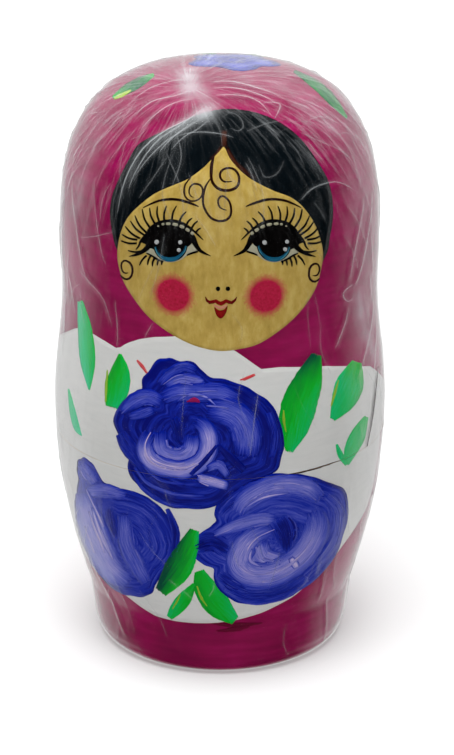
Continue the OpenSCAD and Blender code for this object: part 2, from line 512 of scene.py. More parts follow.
def strokeOnPhoto(pixels, widths):  # places on a stroke that the photograph shows, width in pixels
    path = [Vector((x, y, 0)) for x, y in pixels]

    def at(share, side):
        ahead = headingAt(path, share)
        aside = Vector((-ahead.y, ahead.x, 0)).normalized()
        spot = alongCurve(path, share) + aside * side * max(smoothValue(widths, share), 0) / 2
        return onPhoto((spot.x, spot.y))

    return at


def strokeOnDoll(path, widths):  # places on a stroke round the back, width in metres
    def at(share, side):
        here = alongCurve(path, share)
        ahead = headingAt(path, share)
        aside = skin.find_nearest(here)[1].cross(ahead).normalized()
        return here + aside * side * max(smoothValue(widths, share), 0) / 2

    return at


def pathLength(points):
    return sum((b - a).length for a, b in zip(points, points[1:]))


# edge is the milk along both sides, slant makes the left of a downward stroke paler, frayed splits the ends
def brushStroke(painting, at, finish, layer, milk=(brushLook["milk"],), across=3, ragged=0.0,
                edge=None, slant=0.0, frayed=0.0):
    look = brushLook
    parts = look["lengthParts"]
    length = pathLength([at(i / parts, 0) for i in range(parts + 1)])
    least, most = look["stepRange"]
    steps = max(least, min(most, round(length / look["step"])))
    grid = bmesh.ops.create_grid(painting["bm"], x_segments=steps, y_segments=across, size=1)["verts"]
    seed = painting["count"] * look["seedStep"]
    lengthwise, crosswise = look["wobbles"]
    fade = look["endFade"]
    for vert in grid:
        share = (vert.co.x + 1) / 2
        side = vert.co.y
        hair = 0.5 + 0.5 * noise.noise(Vector((side * look["frayHairs"], seed, 0.5)))
        reached = 0.5 + (share - 0.5) * (1 - frayed * hair)
        wobble = 1 + ragged * noise.noise(Vector((share * lengthwise, side * crosswise, seed)))
        spot = at(reached, side * wobble)
        aside = (spot - at(reached, 0)).length * (1 if side > 0 else -1)
        shade = smoothValue(milk, share) + slant * side
        if edge is not None:
            inner = 1 - abs(side) ** look["edgePower"]
            shade = edge + (shade - edge) * inner * min(1, fade * share, fade * (1 - share))
        mark = share * length / look["hairLength"]
        vert[painting["brush"]] = Vector((mark, aside / look["hairWidth"], seed))
        vert[painting["milk"]] = shade
        vert.co = laid(spot, layer)
    settle(painting, grid, finish)


def paintPatch(painting, rim, heart, finish, layer, cell=brushLook["cell"], ragged=0.0, milkAt=None):
    bm = painting["bm"]
    look = brushLook
    reach = max((p - heart).length for p in rim)
    spokes = max(look["leastSpokes"], round(pathLength(rim + rim[:1]) / cell))
    rings = max(look["leastRings"], round(reach / cell))
    grid = bmesh.ops.create_grid(bm, x_segments=spokes, y_segments=rings, size=1)["verts"]
    seed = painting["count"] * look["seedStep"]
    for vert in grid:
        turn = (vert.co.x + 1) / 2
        share = (vert.co.y + 1) / 2
        angle = turn * math.tau
        east, north = math.cos(angle), math.sin(angle)
        wobble = ragged * noise.noise(Vector((east, north, seed)) * look["rimWobbles"])
        edge = heart.lerp(alongCurve(rim, turn % 1, True), 1 + wobble)
        vert.co = laid(heart.lerp(edge, share), layer)
        mark = share * reach / look["ringWidth"] + seed
        vert[painting["brush"]] = Vector((east * look["ringTurn"], north * look["ringTurn"], mark))
        vert[painting["milk"]] = milkAt(vert.co, share) if milkAt else look["milk"]
    bmesh.ops.remove_doubles(bm, verts=grid, dist=look["mergeGap"])
    settle(painting, grid, finish)


def onPhotos(pixels):
    return [onPhoto(p) for p in pixels]


def photoStroke(painting, pixels, widths, finish, layer, **look):
    brushStroke(painting, strokeOnPhoto(pixels, widths), finish, layer, **look)


def photoPatch(painting, rim, heart, finish, layer, **look):
    paintPatch(painting, onPhotos(rim), onPhoto(heart), finish, layer, **look)


def circlePixels(centre, radius, count):
    turns = [math.tau * i / count for i in range(count)]
    return [(centre[0] + radius * math.cos(t), centre[1] + radius * math.sin(t)) for t in turns]


# Apron: a white field round the belly, between an upper and a lower edge
apron = {
    "rightEnd": (86, 82),  # degrees from the front, millimetres up
    "leftEnd": (-112, 66),
    "upperLeft": [(-108, 78), (-98, 89), (-85, 97)],
    "lowerLeft": [(-107, 54), (-97, 43), (-85, 34), (-74, 29)],
    "upperPixels": [(66, 332), (76, 328), (84, 329), (92, 333), (105, 341), (118, 349), (127, 343),
                    (140, 339), (154, 337), (180, 336), (210, 340), (234, 350), (247, 359), (261, 369),
                    (280, 367), (301, 367), (325, 366), (348, 366), (370, 366)],
    "lowerPixels": [(96, 571), (110, 584), (127, 596), (141, 607), (156, 616), (175, 621), (194, 623),
                    (215, 623), (236, 620), (261, 613), (278, 605), (294, 596), (311, 581), (328, 564),
                    (348, 538), (368, 504), (376, 470), (380, 440)],
    "cell": 1.7 * mm,
    "tall": 80 * mm,  # sets how many cells there are upwards
    "hairMarks": (9, 1.2),  # degrees along, millimetres across
    "seed": 3.1,
}


def angleAndHeight(point):
    return math.degrees(math.atan2(point.x, -point.y)), point.z / mm


def paintApron(painting):
    upper = apron["upperLeft"] + [angleAndHeight(p) for p in onPhotos(apron["upperPixels"])]
    lower = apron["lowerLeft"] + [angleAndHeight(p) for p in onPhotos(apron["lowerPixels"])]
    left, right = apron["leftEnd"], apron["rightEnd"]
    edges = [np.array(sorted([left] + line + [right])) for line in (lower, upper)]
    wide = math.radians(right[0] - left[0]) * dollShape["bellyRadius"] * mm
    grid = bmesh.ops.create_grid(painting["bm"], x_segments=round(wide / apron["cell"]),
                                 y_segments=round(apron["tall"] / apron["cell"]), size=1)["verts"]
    markAngle, markHeight = apron["hairMarks"]
    for vert in grid:
        angle = left[0] + (right[0] - left[0]) * (vert.co.x + 1) / 2
        low, high = (float(np.interp(angle, e[:, 0], e[:, 1])) for e in edges)
        height = low + (high - low) * (vert.co.y + 1) / 2
        vert.co = laid(onSide(angle, height), layerOf["apron"])
        vert[painting["brush"]] = Vector((angle / markAngle, height / markHeight, apron["seed"]))
        vert[painting["milk"]] = brushLook["milk"]
    bmesh.ops.remove_doubles(painting["bm"], verts=grid, dist=brushLook["mergeGap"])
    settle(painting, grid, "apron")


# Hair and face. All places are pixels of the photograph
head = {
    "hairRim": [(224, 109), (249, 111), (271, 118), (291, 130), (306, 145), (317, 161), (327, 178),
                (332, 196), (333, 216), (330, 236), (325, 257), (300, 290), (222, 310), (140, 290),
                (117, 250), (112, 231), (110, 213), (112, 196), (118, 181), (128, 161), (138, 145),
                (155, 135), (173, 127), (200, 114)],
    "hairHeart": (222, 215),
    "faceRim": [(224, 147), (229, 157), (235, 165), (243, 173), (254, 181), (274, 191), (290, 197),
                (302, 206), (313, 221), (320, 238), (323, 254), (321, 269), (316, 287), (306, 304),
                (293, 319), (276, 333), (258, 344), (239, 349), (220, 351), (199, 347), (180, 339),
                (161, 327), (146, 314), (133, 297), (123, 280), (118, 262), (118, 246), (122, 229),
                (129, 216), (141, 204), (156, 193), (174, 185), (188, 179), (203, 168), (213, 158),
                (219, 152)],
    "faceHeart": (221, 255),
    "faceCell": 1.1 * mm,
    # thin brown paint along the parting: pixels, width
    "parting": [([(224, 130), (224, 139), (223.6, 149)], 7), ([(223, 146), (218, 154), (211, 161)], 6),
                ([(225, 147), (231, 157), (238, 166), (256, 180)], 6)],
    "cheeks": [(173, 295), (266, 296)],
    "cheekCore": 14,  # full colour out to here, bare wood past the edge
    "cheekEdge": 25,
    "noseDots": [(218, 288.7), (227.9, 288.7)],
    "noseRadius": 2.3,
    "nosePoints": 16,
    "upperLip": [(205.3, 296.6), (206.8, 300.2), (209.6, 302.4), (213.2, 301.7), (215.8, 300.9),
                 (218.6, 302.8), (220.9, 303.6), (223.6, 302.4), (226.1, 300.9), (229, 302),
                 (231.9, 302.6), (234.9, 300.2), (236.9, 296.8)],
    "upperLipWidths": [0.6, 2.4, 3.5, 3.6, 3.7, 3.8, 4.1, 3.8, 3.7, 3.5, 3.3, 2.2, 0.6],
    "lowerLip": [(214.3, 306.6), (217.4, 309.5), (220.9, 310.3), (224.4, 309.1), (227.5, 305.8),
                 (226.5, 311.5), (224, 316.1), (220.7, 318.5), (217.4, 316.5), (215.3, 312.3)],
    "lowerLipHeart": (220.8, 313.4),
    "lipGap": [(213.2, 304.5), (217, 306.6), (220.9, 307.8), (224.4, 306.6), (227.5, 304)],
    "lipGapWidths": [0.8, 2.6, 3, 2.6, 0.8],
    "partingLook": {"milk": (0.95, 0.9, 0.5), "across": 6, "edge": 0},
    "upperLipLook": {"milk": (0.2, 0.3, 0.45, 0.55, 0.45, 0.3, 0.2), "across": 5},
    "lowerLipMilk": (0.75, 0.4),  # in the middle, and how much less at the rim
    "noseCell": 0.4 * mm,
    "lipCell": 0.5 * mm,
}


def paintFace(painting):
    cheeks = onPhotos(head["cheeks"])
    core, edge = head["cheekCore"], head["cheekEdge"]

    def blushAt(place, share):
        near = min((place - cheek).length for cheek in cheeks) / photoView["pixelSize"]
        return 1 - min(max((near - core) / (edge - core), 0), 1)

    def lipMilkAt(place, share):
        middle, less = head["lowerLipMilk"]
        return middle - less * share

    photoPatch(painting, head["hairRim"], head["hairHeart"], "hair", layerOf["hair"])
    for pixels, width in head["parting"]:
        photoStroke(painting, pixels, [width], "curl", layerOf["parting"], **head["partingLook"])
    photoPatch(painting, head["faceRim"], head["faceHeart"], "face", layerOf["face"],
               cell=head["faceCell"], milkAt=blushAt)
    for centre in head["noseDots"]:
        rim = circlePixels(centre, head["noseRadius"], head["nosePoints"])
        photoPatch(painting, rim, centre, "ink", layerOf["nose"], cell=head["noseCell"])
    photoStroke(painting, head["lipGap"], head["lipGapWidths"], "lipPale", layerOf["lipGap"])
    photoStroke(painting, head["upperLip"], head["upperLipWidths"], "lip", layerOf["lip"],
                **head["upperLipLook"])
    photoPatch(painting, head["lowerLip"], head["lowerLipHeart"], "lip", layerOf["lip"],
               cell=head["lipCell"], milkAt=lipMilkAt)


# One eye, drawn for the left of the photograph and mirrored for the other
eye = {
    "mirror": 222.2,  # pixel column between the two eyes
    "whiteRim": [(146, 252.6), (148.4, 248.4), (158, 240), (183, 240), (192.6, 244.2), (198, 250.6),
                 (190, 253.2), (181, 259.8), (170.5, 262.3), (160, 260.2), (152, 254.8)],
    "whiteHeart": (170.5, 250),
    "almondRim": [(139.6, 241.2), (145.4, 233.4), (150.6, 227.6), (155.8, 223.6), (163.5, 221),
                  (172.4, 220.2), (179.4, 221.6), (186.4, 225.2), (192, 230.4), (194.4, 236),
                  (193, 241), (189, 246), (180, 250), (170.4, 251), (158, 250), (150.4, 248),
                  (145, 243.8)],
    "almondHeart": (168, 236),
    "irisHeart": (170.5, 244.5),
    "irisRadius": 17.2,
    "irisPoints": 20,
    "crescent": [(155.8, 246.5), (157.4, 251.6), (161.4, 256.4), (166.4, 259), (171, 259.4), (176, 258.4),
                 (180.8, 255), (184, 250.4), (185.5, 245.5)],
    "crescentWidths": [0.8, 1.6, 2.7, 4, 4.6, 4, 2.7, 1.7, 0.8],
    "crescentLook": {"milk": (0.35, 0.5, 0.62, 0.75, 0.75, 0.75, 0.62, 0.5, 0.35), "across": 6},
    "glows": [[(155, 247), (157, 252.4), (161, 257.2), (165, 259.8)],
              [(186.4, 246), (185, 250.8), (181.6, 255.6)]],
    # pixels and widths of strokes in black
    "strokes": [
        ([(186, 229), (192.6, 238), (195.7, 244.2), (199.8, 250.2), (205.6, 253.7), (210.8, 255.9)],
         [7, 6.4, 4.9, 3.6, 2, 0.4]),  # inner corner
        ([(152, 240.5), (147.5, 247.5), (141.5, 252.2), (135.5, 254.8), (129.2, 256.4)],
         [7, 5.4, 3.8, 2.6, 0.5]),  # outer wing
        ([(147.6, 231), (152.4, 226), (158, 222.4), (166, 220.6), (174.5, 220.4), (181.8, 222.6),
          (188.6, 226.4), (194.2, 231.2), (198.8, 235.5), (203.3, 240)],
         [2, 2, 2.1, 2.2, 2.2, 2.2, 2, 1.9, 1.6, 0.5]),  # crease
        ([(187, 255.2), (192.2, 253), (197.9, 251.4)], [1.4, 2, 1.8]),
        ([(146.6, 253.2), (151.8, 255.6), (158, 259.6), (163.6, 261.8)], [1.2, 1.7, 1.9, 0.8]),
    ],
    "lashFeet": [(137, 243.2), (137.6, 239.7), (140.2, 238.4), (144.3, 234.9), (146.4, 232.4),
                 (149.8, 227.3), (154.9, 223.4), (159.3, 221.4), (164.4, 221), (172, 220.4),
                 (179.4, 221.7), (186.4, 224.9), (191.9, 228), (196, 232.4), (140.4, 241.6),
                 (141.5, 251.2)],
    "lashTips": [(121.1, 240.6), (122, 234.3), (125.5, 226.3), (130.6, 220.9), (135.1, 215.5),
                 (142.4, 208.8), (149.8, 207.8), (157.6, 206.2), (166.7, 205.9), (176.5, 205.9),
                 (186.4, 211.6), (192.2, 218), (197.9, 220.9), (200.8, 227.9), (136, 249.6),
                 (128.1, 250.5)],
    "lashBend": 0.085,  # sideways bow of a lash, as a share of its length
    "lowerFeet": [(146.8, 255.4), (150.6, 256), (154.6, 258), (159.2, 259), (162.6, 260.4)],
    "lowerTips": [(139.6, 265.2), (147.8, 264.9), (152.6, 266.5), (157.4, 265.5), (161.9, 264.9)],
    "lowerBend": -0.08,
    "lashWidths": [2.1, 2, 1.7, 0.9],
    # white dashes under the crease: pixel, length, width
    "dashes": [((158.4, 226), 1.8, 1.6), ((163.2, 224.1), 2.6, 2.4), ((168.4, 223.7), 4.6, 2.7),
               ((175.3, 224.4), 5.2, 3.1), ((182, 226.6), 4.7, 3.2), ((187.7, 229.8), 4.4, 3.3),
               ((192.4, 233.2), 3.6, 3.2)],
    "dashHeart": (168, 262),  # the dashes run round this pixel
    "brow": [(143.1, 207.8), (150.7, 204), (159.6, 200.6), (169.8, 199.2), (178.8, 199.8), (187.1, 202.1),
             (194.1, 204.6), (198.7, 206.6)],
    "browWidths": [0.8, 1.8, 2.4, 2.7, 2.7, 2.6, 2, 0.8],
    "browLook": {"milk": (0.3,)},
    "glowWidths": [0.4, 1.1, 0.4],
    "glowLook": {"milk": (0.9,), "across": 2},
    "lashLook": {"across": 2},
    "dashLook": {"milk": (0.3,), "across": 2},
    "dashEnd": 0.7,  # width at a dash's ends, as a share
    "whiteMilk": 0.4,
    "cell": 0.8 * mm,
    "irisCell": 0.7 * mm,
    "glintCell": 0.35 * mm,
    "glintPoints": 10,
}
glints = [(156.9, 241.9, 2.3), (180.4, 242.2, 2.1), (179, 249.9, 2),
          (264.4, 242.4, 2.3), (286.8, 241.6, 2), (285, 249.2, 2)]  # pixel, pixel, radius


def paintEye(painting, mirrored):
    def turned(pixels):
        return [(2 * eye["mirror"] - x, y) if mirrored else (x, y) for x, y in pixels]

    def patch(rim, heart, finish, layer, **look):
        photoPatch(painting, turned(rim), turned([heart])[0], finish, layerOf[layer], **look)

    def stroke(pixels, widths, finish, layer, **look):
        photoStroke(painting, turned(pixels), widths, finish, layerOf[layer], **look)

    patch(eye["whiteRim"], eye["whiteHeart"], "white", "eyeWhite", cell=eye["cell"],
          milkAt=lambda place, share: eye["whiteMilk"])
    patch(eye["almondRim"], eye["almondHeart"], "ink", "almond", cell=eye["cell"])
    irisRim = circlePixels(eye["irisHeart"], eye["irisRadius"], eye["irisPoints"])
    patch(irisRim, eye["irisHeart"], "ink", "iris", cell=eye["irisCell"])
    stroke(eye["crescent"], eye["crescentWidths"], "iris", "crescent", **eye["crescentLook"])
    for pixels in eye["glows"]:
        stroke(pixels, eye["glowWidths"], "iris", "glow", **eye["glowLook"])
    for pixels, widths in eye["strokes"]:
        stroke(pixels, widths, "ink", "eyeLine")
    stroke(eye["brow"], eye["browWidths"], "curl", "brow", **eye["browLook"])
    for feet, tips, bend in (("lashFeet", "lashTips", "lashBend"), ("lowerFeet", "lowerTips", "lowerBend")):
        for foot, tip in zip(eye[feet], eye[tips]):
            middle = ((foot[0] + tip[0]) / 2 + (tip[1] - foot[1]) * eye[bend],
                      (foot[1] + tip[1]) / 2 - (tip[0] - foot[0]) * eye[bend])
            stroke([foot, middle, tip], eye["lashWidths"], "ink", "lash", **eye["lashLook"])
    for place, length, width in eye["dashes"]:
        away = Vector((place[0] - eye["dashHeart"][0], place[1] - eye["dashHeart"][1]))
        along = Vector((-away.y, away.x)).normalized() * length / 2
        ends = [(place[0] + along.x * s, place[1] + along.y * s) for s in (-1, 0, 1)]
        widths = [width * eye["dashEnd"], width, width * eye["dashEnd"]]
        stroke(ends, widths, "white", "dash", **eye["dashLook"])


# Curls drawn with a fine brush: pixels, widths
curls = [
    ([(213.7, 156), (211.8, 164), (211.2, 171.4), (211.4, 178.7), (213.7, 184.4), (218.7, 188.8),
      (225.5, 190.5), (232.8, 189.4), (237.8, 185.5), (239.2, 178.7), (237.3, 172.6), (232.8, 168.6),
      (227.2, 168.1), (222.1, 170.3), (219.9, 174.8), (221.3, 179.3), (224.9, 181.8), (232, 181.3)],
     [2.2, 3.2, 3.2, 2.8, 2.8, 3, 3, 2.9, 2.7, 2.5, 2.3, 2.2, 2.2, 2.3, 2.4, 2.2, 1.7, 0.6]),
    ([(210.6, 178.6), (207, 183.8), (204.1, 190.5), (203, 199), (203.6, 205.7), (207, 213),
      (212, 218.6), (219.3, 221.1), (226.6, 219.7), (230.5, 215.2), (231.1, 208.5), (229.4, 201.8),
      (225.5, 197.3), (221.5, 196.1), (218.5, 199), (218.2, 203.4), (220.4, 207.9), (226.6, 210.2)],
     [1, 1.7, 2.4, 2.4, 2.3, 2.3, 2.3, 2.4, 2.5, 2.4, 2.2, 2.1, 2.1, 2.1, 2, 1.9, 1.6, 0.6]),
    ([(191, 177.2), (185.6, 183.8), (184.2, 190.5), (185.6, 197.3), (191.2, 201.2), (198, 199.8),
      (201.9, 195.6), (202.7, 189.4), (200.2, 184.9), (194.6, 183.8), (190.4, 186.6), (189, 191.7),
      (190.7, 196.1), (194, 197.3)],
     [1.2, 1.6, 1.9, 1.8, 1.7, 1.7, 1.7, 1.8, 2.1, 1.9, 1.7, 1.6, 1.3, 0.5]),
    ([(120.6, 275), (123, 277.7), (126, 279.2), (129.3, 278.5), (131.9, 275.2), (132.7, 270.3),
      (131.9, 266), (129.6, 262.4), (125.8, 260.5), (122.7, 261.6), (121.4, 264.9), (121.7, 268.3),
      (123, 271.6), (125.3, 273.1), (128.2, 272.8)],
     [1, 1.8, 2.2, 2.3, 2.3, 2.2, 2.2, 2.1, 2.1, 2, 1.8, 1.7, 1.6, 1.5, 0.8]),
    ([(319.5, 278.2), (316.9, 280.7), (313.9, 281.7), (310.8, 280.2), (308.9, 276.6), (308.8, 272.3),
      (309.8, 267.7), (312.3, 264.6), (315.4, 263.5), (318, 264.6), (319.4, 267.9), (319, 271.8),
      (317.4, 274.6), (315.4, 275.7), (312.6, 275.2)],
     [1, 1.8, 2.2, 2.3, 2.3, 2.2, 2.2, 2.1, 2.1, 1.9, 1.8, 1.7, 1.6, 1.5, 0.8]),
]
curlLook = {"milk": (0.45,), "across": 2}


def paintCurls(painting):
    for pixels, widths in curls:
        photoStroke(painting, pixels, widths, "curl", layerOf["curl"], **curlLook)


# Three loose roses. Strokes of milky paint lie over deep blue: pixels, widths, milk
roses = [
    {
        "heart": (205, 440),
        "base": 0.14,
        "rim": [(169, 358), (182, 361), (194, 363), (202, 371), (211, 377), (225, 380), (242, 384),
                (257, 393), (269, 403), (278, 417), (283, 434), (283, 451), (280, 464), (272, 473),
                (259, 479), (244, 486), (229, 496), (220, 504), (205, 508), (186, 509), (167, 506),
                (152, 498), (138, 486), (130, 474), (128, 462), (131, 453), (123, 439), (115, 428),
                (114, 415), (121, 403), (133, 395), (142, 391), (143, 380), (150, 369), (159, 360)],
        "strokes": [
            ([(120, 432), (128, 446), (140, 462), (150, 478)], [10, 16, 14, 8], 0.2),
            ([(268, 412), (275, 434), (272, 458)], [6, 10, 6], 0.2),
            ([(159, 385), (169, 374), (184, 367), (197, 372)], [8, 11, 11, 7], 0.36),
            ([(165, 388), (180, 380), (197, 382), (205, 380)], [10, 14, 14, 6], 0.56),
            ([(161, 399), (178, 393), (197, 393), (220, 393), (239, 401)], [12, 19, 20, 19, 14], 0.48),
            ([(121, 413), (133, 402), (148, 397), (163, 403)], [8, 16, 17, 12], 0.46),
            ([(129, 417), (142, 414), (154, 409)], [6, 11, 9], 0.42),
            ([(206, 408), (228, 412), (241, 422), (247, 439), (245, 458)], [18, 28, 31, 31, 20], 0.5),
            ([(158, 430), (161, 451), (178, 458), (191, 451), (194, 434)], [18, 22, 22, 22, 16], 0.66),
            ([(152, 430), (145, 445), (150, 460), (167, 468), (186, 469), (203, 460), (209, 445),
              (205, 428), (193, 419)], [10, 17, 20, 20, 20, 20, 20, 18, 8], 0.84),
            ([(174, 417), (178, 428), (181, 441)], [8, 12, 4], 0.04),
            ([(217, 444), (230, 457), (244, 471)], [3, 9, 8], 0.02),
            ([(217, 445), (205, 460), (190, 475)], [3, 5, 4], 0.06),
            ([(207, 469), (219, 465), (228, 477)], [7, 11, 8], 0.56),
            ([(197, 477), (211, 481), (229, 486)], [8, 13, 9], 0.88),
            ([(134, 466), (148, 483), (176, 494), (207, 496)], [2, 4, 4, 2], 0.42),
            ([(140, 462), (159, 479), (186, 485)], [2, 3, 2], 0.36),
            ([(132, 471), (144, 489), (169, 504), (203, 506)], [2, 4, 4, 2], 0.3),
            ([(176, 402), (190, 394), (206, 397), (218, 408)], [1, 3, 3, 1], 0.78),
        ],
    },
    {
        "heart": (272, 540),
        "base": 0.34,
        "rim": [(217, 505), (228, 495), (245, 485), (262, 477), (281, 473), (296, 475), (312, 477),
                (331, 482), (343, 489), (348, 503), (347, 522), (342, 540), (334, 557), (319, 576),
                (302, 589), (287, 598), (266, 603), (245, 604), (228, 598), (218, 589), (213, 578),
                (214, 569), (203, 564), (193, 555), (190, 546), (197, 536), (207, 528), (216, 522),
                (214, 513)],
        "strokes": [
            ([(220, 515), (235, 500), (260, 484)], [6, 9, 6], 0.16),
            ([(195, 547), (212, 542), (229, 552)], [14, 24, 12], 0.1),
            ([(218, 574), (232, 584), (246, 590)], [10, 16, 8], 0.2),
            ([(224, 586), (249, 597), (281, 593), (308, 576)], [8, 14, 14, 8], 0.22),
            ([(325, 495), (338, 512), (334, 540), (317, 563)], [8, 13, 13, 8], 0.34),
            ([(237, 515), (245, 502), (266, 489), (287, 485), (308, 489), (321, 500)],
             [10, 20, 22, 22, 20, 12], 0.64),
            ([(214, 535), (237, 525), (260, 519), (275, 519)], [6, 13, 14, 10], 0.62),
            ([(256, 542), (262, 559), (281, 563)], [22, 28, 20], 0.72),
            ([(274, 528), (256, 535), (245, 546), (239, 562), (249, 573), (270, 574), (291, 564),
              (308, 547), (317, 526), (314, 508)], [8, 18, 24, 26, 26, 26, 26, 26, 25, 14], 0.74),
            ([(278, 518), (284, 530), (286, 542), (286, 554)], [20, 27, 16, 1], 0.08),
            ([(290, 557), (294, 563), (297, 568)], [5, 9, 6], 0.98),
            ([(244, 508), (264, 497), (290, 493)], [1, 3, 1], 0.86),
            ([(252, 548), (250, 560), (262, 567)], [1, 4, 1], 0.88),
        ],
    },
    {
        "heart": (127, 542),
        "base": 0.3,
        "rim": [(83, 457), (92, 463), (98, 473), (104, 482), (115, 488), (129, 490), (144, 495),
                (157, 504), (167, 515), (175, 528), (179, 543), (178, 555), (171, 566), (163, 574),
                (155, 587), (152, 593), (142, 597), (129, 595), (117, 591), (106, 583), (98, 570),
                (92, 553), (87, 534), (82, 517), (78, 503), (77, 490), (79, 481), (77, 469), (78, 460)],
        "strokes": [
            ([(81, 463), (88, 474), (96, 484)], [8, 13, 10], 0.58),
            ([(167, 508), (176, 533), (173, 559)], [4, 8, 5], 0.1),
            ([(86, 492), (106, 491), (126, 496)], [10, 15, 8], 0.56),
            ([(124, 514), (127, 542), (136, 563), (147, 583)], [12, 18, 18, 10], 0.52),
            ([(82, 490), (88, 515), (98, 542), (110, 567), (130, 585)], [12, 26, 30, 26, 14], 0.72),
            ([(109, 507), (112, 521), (117, 539)], [6, 12, 3], 0.12),
            ([(92, 506), (101, 534), (114, 560)], [2, 6, 2], 0.88),
        ],
    },
]
roseLook = {
    "cell": 1.2 * mm,
    "layerStep": 0.4,  # every stroke lies over the last
    "ragged": 0.03,
    "rimShade": (0.5, 6),  # how much deeper the rim is, and how narrowly
    "strokeRagged": 0.1,
    "strokeFrayed": 0.12,
    "leastAcross": 4,
    "pixelsAcross": 3,  # a broad stroke has a cell for these
    "seed": 5,
    "broad": 9,  # wider strokes show bristle marks
    "bristles": 4,
    "bristleAcross": 2,
    "bristleStart": (0, 0.6),
    "bristleSpan": (0.2, 0.4),
    "bristleAside": (-0.9, 0.9),
    "bristleWidth": 0.07,
    "bristleMilk": (-0.22, 0.26),
}
# a touch of shawl paint
roseSmear = {"pixels": [(187, 401.5), (194, 399.6), (200, 402)], "widths": [1, 4.5, 1],
             "look": {"milk": (0.9,), "ragged": 0.5}}


def paintRose(painting, rose):
    look = roseLook
    lowest = layerOf["rose"]

    def milkAt(place, share):
        deeper, power = look["rimShade"]
        return rose["base"] * (1 - deeper * share ** power)

    photoPatch(painting, rose["rim"], rose["heart"], "rose", lowest, cell=look["cell"],
               ragged=look["ragged"], milkAt=milkAt)
    for i, (pixels, widths, milk) in enumerate(rose["strokes"]):
        across = max(look["leastAcross"], round(max(widths) / look["pixelsAcross"]))
        photoStroke(painting, pixels, widths, "rose", lowest + look["layerStep"] * (i + 1), milk=(milk,),
                    across=across, ragged=look["strokeRagged"], edge=rose["base"],
                    frayed=look["strokeFrayed"])
    dice = np.random.default_rng(look["seed"])
    highest = lowest + look["layerStep"] * (len(rose["strokes"]) + 1)
    for pixels, widths, milk in (s for s in rose["strokes"] if max(s[1]) > look["broad"]):
        at = strokeOnPhoto(pixels, widths)
        for _ in range(look["bristles"]):
            start = dice.uniform(*look["bristleStart"])
            span = dice.uniform(*look["bristleSpan"])
            aside = dice.uniform(*look["bristleAside"])
            shade = milk + dice.uniform(*look["bristleMilk"])

            def bristleAt(share, side):
                return at(start + span * share, aside + side * look["bristleWidth"])

            brushStroke(painting, bristleAt, "rose", highest, milk=(shade,),
                        across=look["bristleAcross"], edge=milk)


# Leaves: pixels along the middle, widths, milk along the stroke, slant, layer
leaves = [
    ([(80, 300), (85, 330), (88, 362), (89.5, 391)], [5, 14, 15, 1], (0.8, 0.74, 0.72, 0.8), 0.14, 2),
    ([(120, 353), (120, 371), (117, 390), (111.5, 408)], [2, 19, 24, 12],
     (0.45, 0.5, 0.56, 0.66), -0.12, 2),
    ([(68.5, 388), (72.6, 411), (77, 428), (82, 436)], [1.5, 6, 6, 0.6], (0.8, 0.84, 0.86, 0.9), 0, 2),
    ([(317, 353), (308.5, 380), (299, 405), (293.5, 428), (289, 453)], [9, 28, 35, 30, 6],
     (0.14, 0.4, 0.5, 0.52, 0.6), -0.16, 2),
    ([(357, 361), (350.5, 382), (343, 401), (332, 420)], [9, 27, 24, 5], (0.5, 0.68, 0.7, 0.7), 0.04, 2),
    ([(366.5, 416), (358, 435), (350.5, 451), (346.5, 465)], [4, 15, 13, 4], (0.62, 0.68, 0.7, 0.72), 0, 2),
    ([(336.5, 444), (340.5, 455), (347, 465)], [2, 6, 4], (0.75, 0.72, 0.7), 0, 2.5),
    ([(195, 529), (187, 550), (177, 570), (160, 593)], [9, 22, 27, 12], (0.45, 0.36, 0.3, 0.2), -0.24, 5),
    ([(195, 583), (185, 598), (176, 609), (169, 618)], [3, 14, 13, 6], (0.5, 0.52, 0.6, 0.62), 0.08, 2),
    ([(199, 570), (205.5, 588), (219, 606), (236, 621)], [9, 23, 25, 9], (0.5, 0.48, 0.52, 0.6), -0.1, 2),
]
leafLook = {"across": 10, "ragged": 0.05, "frayed": 0.1}
# yellow along a leaf's edge: pixels, widths
sprigs = [
    ([(107.4, 370), (106.4, 386), (105.6, 402)], [1, 2.6, 1.5]),
    ([(338.5, 380), (334.6, 393), (331, 406)], [1, 2.4, 1.4]),
    ([(180.5, 594), (177, 601), (172.5, 609)], [0.8, 2, 0.8]),
    ([(197, 586), (201, 597), (207, 606)], [0.8, 2, 0.8]),
    ([(283.5, 410), (283.8, 421), (286, 432)], [0.8, 2.4, 0.8]),
]
sprigLook = {"milk": (0.45,), "ragged": 0.5}
# painted shade: a dark line in the joint at the right
seamShade = {"pixels": [(284, 475.5), (312, 469.5), (343, 459.5)], "widths": [0.4, 1.6, 1.3, 0.6],
            "look": {"milk": (0.6,), "across": 4, "ragged": 0.6}}
redMarks = [[(137, 360), (142, 366), (147, 373)], [(240, 380), (247, 378), (255, 374.5)]]
redWidths = [1.5, 3.4, 2]
redLook = {"milk": (0.5,), "ragged": 0.4}
# dark smear on the band under the apron: pixels, widths
bandSmears = [([(211, 623.5), (236, 625), (263, 623)], [1, 4.6, 1]),
              ([(215, 631), (236, 629), (251, 626)], [1, 5, 1])]
bandSmearLook = {"milk": (0.4,), "across": 4, "ragged": 0.5, "frayed": 0.3}


def paintLeaves(painting):
    for pixels, widths, milk, slant, layer in leaves:
        photoStroke(painting, pixels, widths, "leaf", layer, milk=milk, slant=slant, **leafLook)
    for pixels, widths in sprigs:
        photoStroke(painting, pixels, widths, "sprig", layerOf["sprig"], **sprigLook)
    for pixels in redMarks:
        photoStroke(painting, pixels, redWidths, "red", layerOf["redMark"], **redLook)
    # painted shade in the joint
    photoStroke(painting, seamShade["pixels"], seamShade["widths"], "curl", layerOf["seamShade"],
                **seamShade["look"])
    for pixels, widths in bandSmears:
        photoStroke(painting, pixels, widths, "smear", layerOf["bandSmear"], **bandSmearLook)


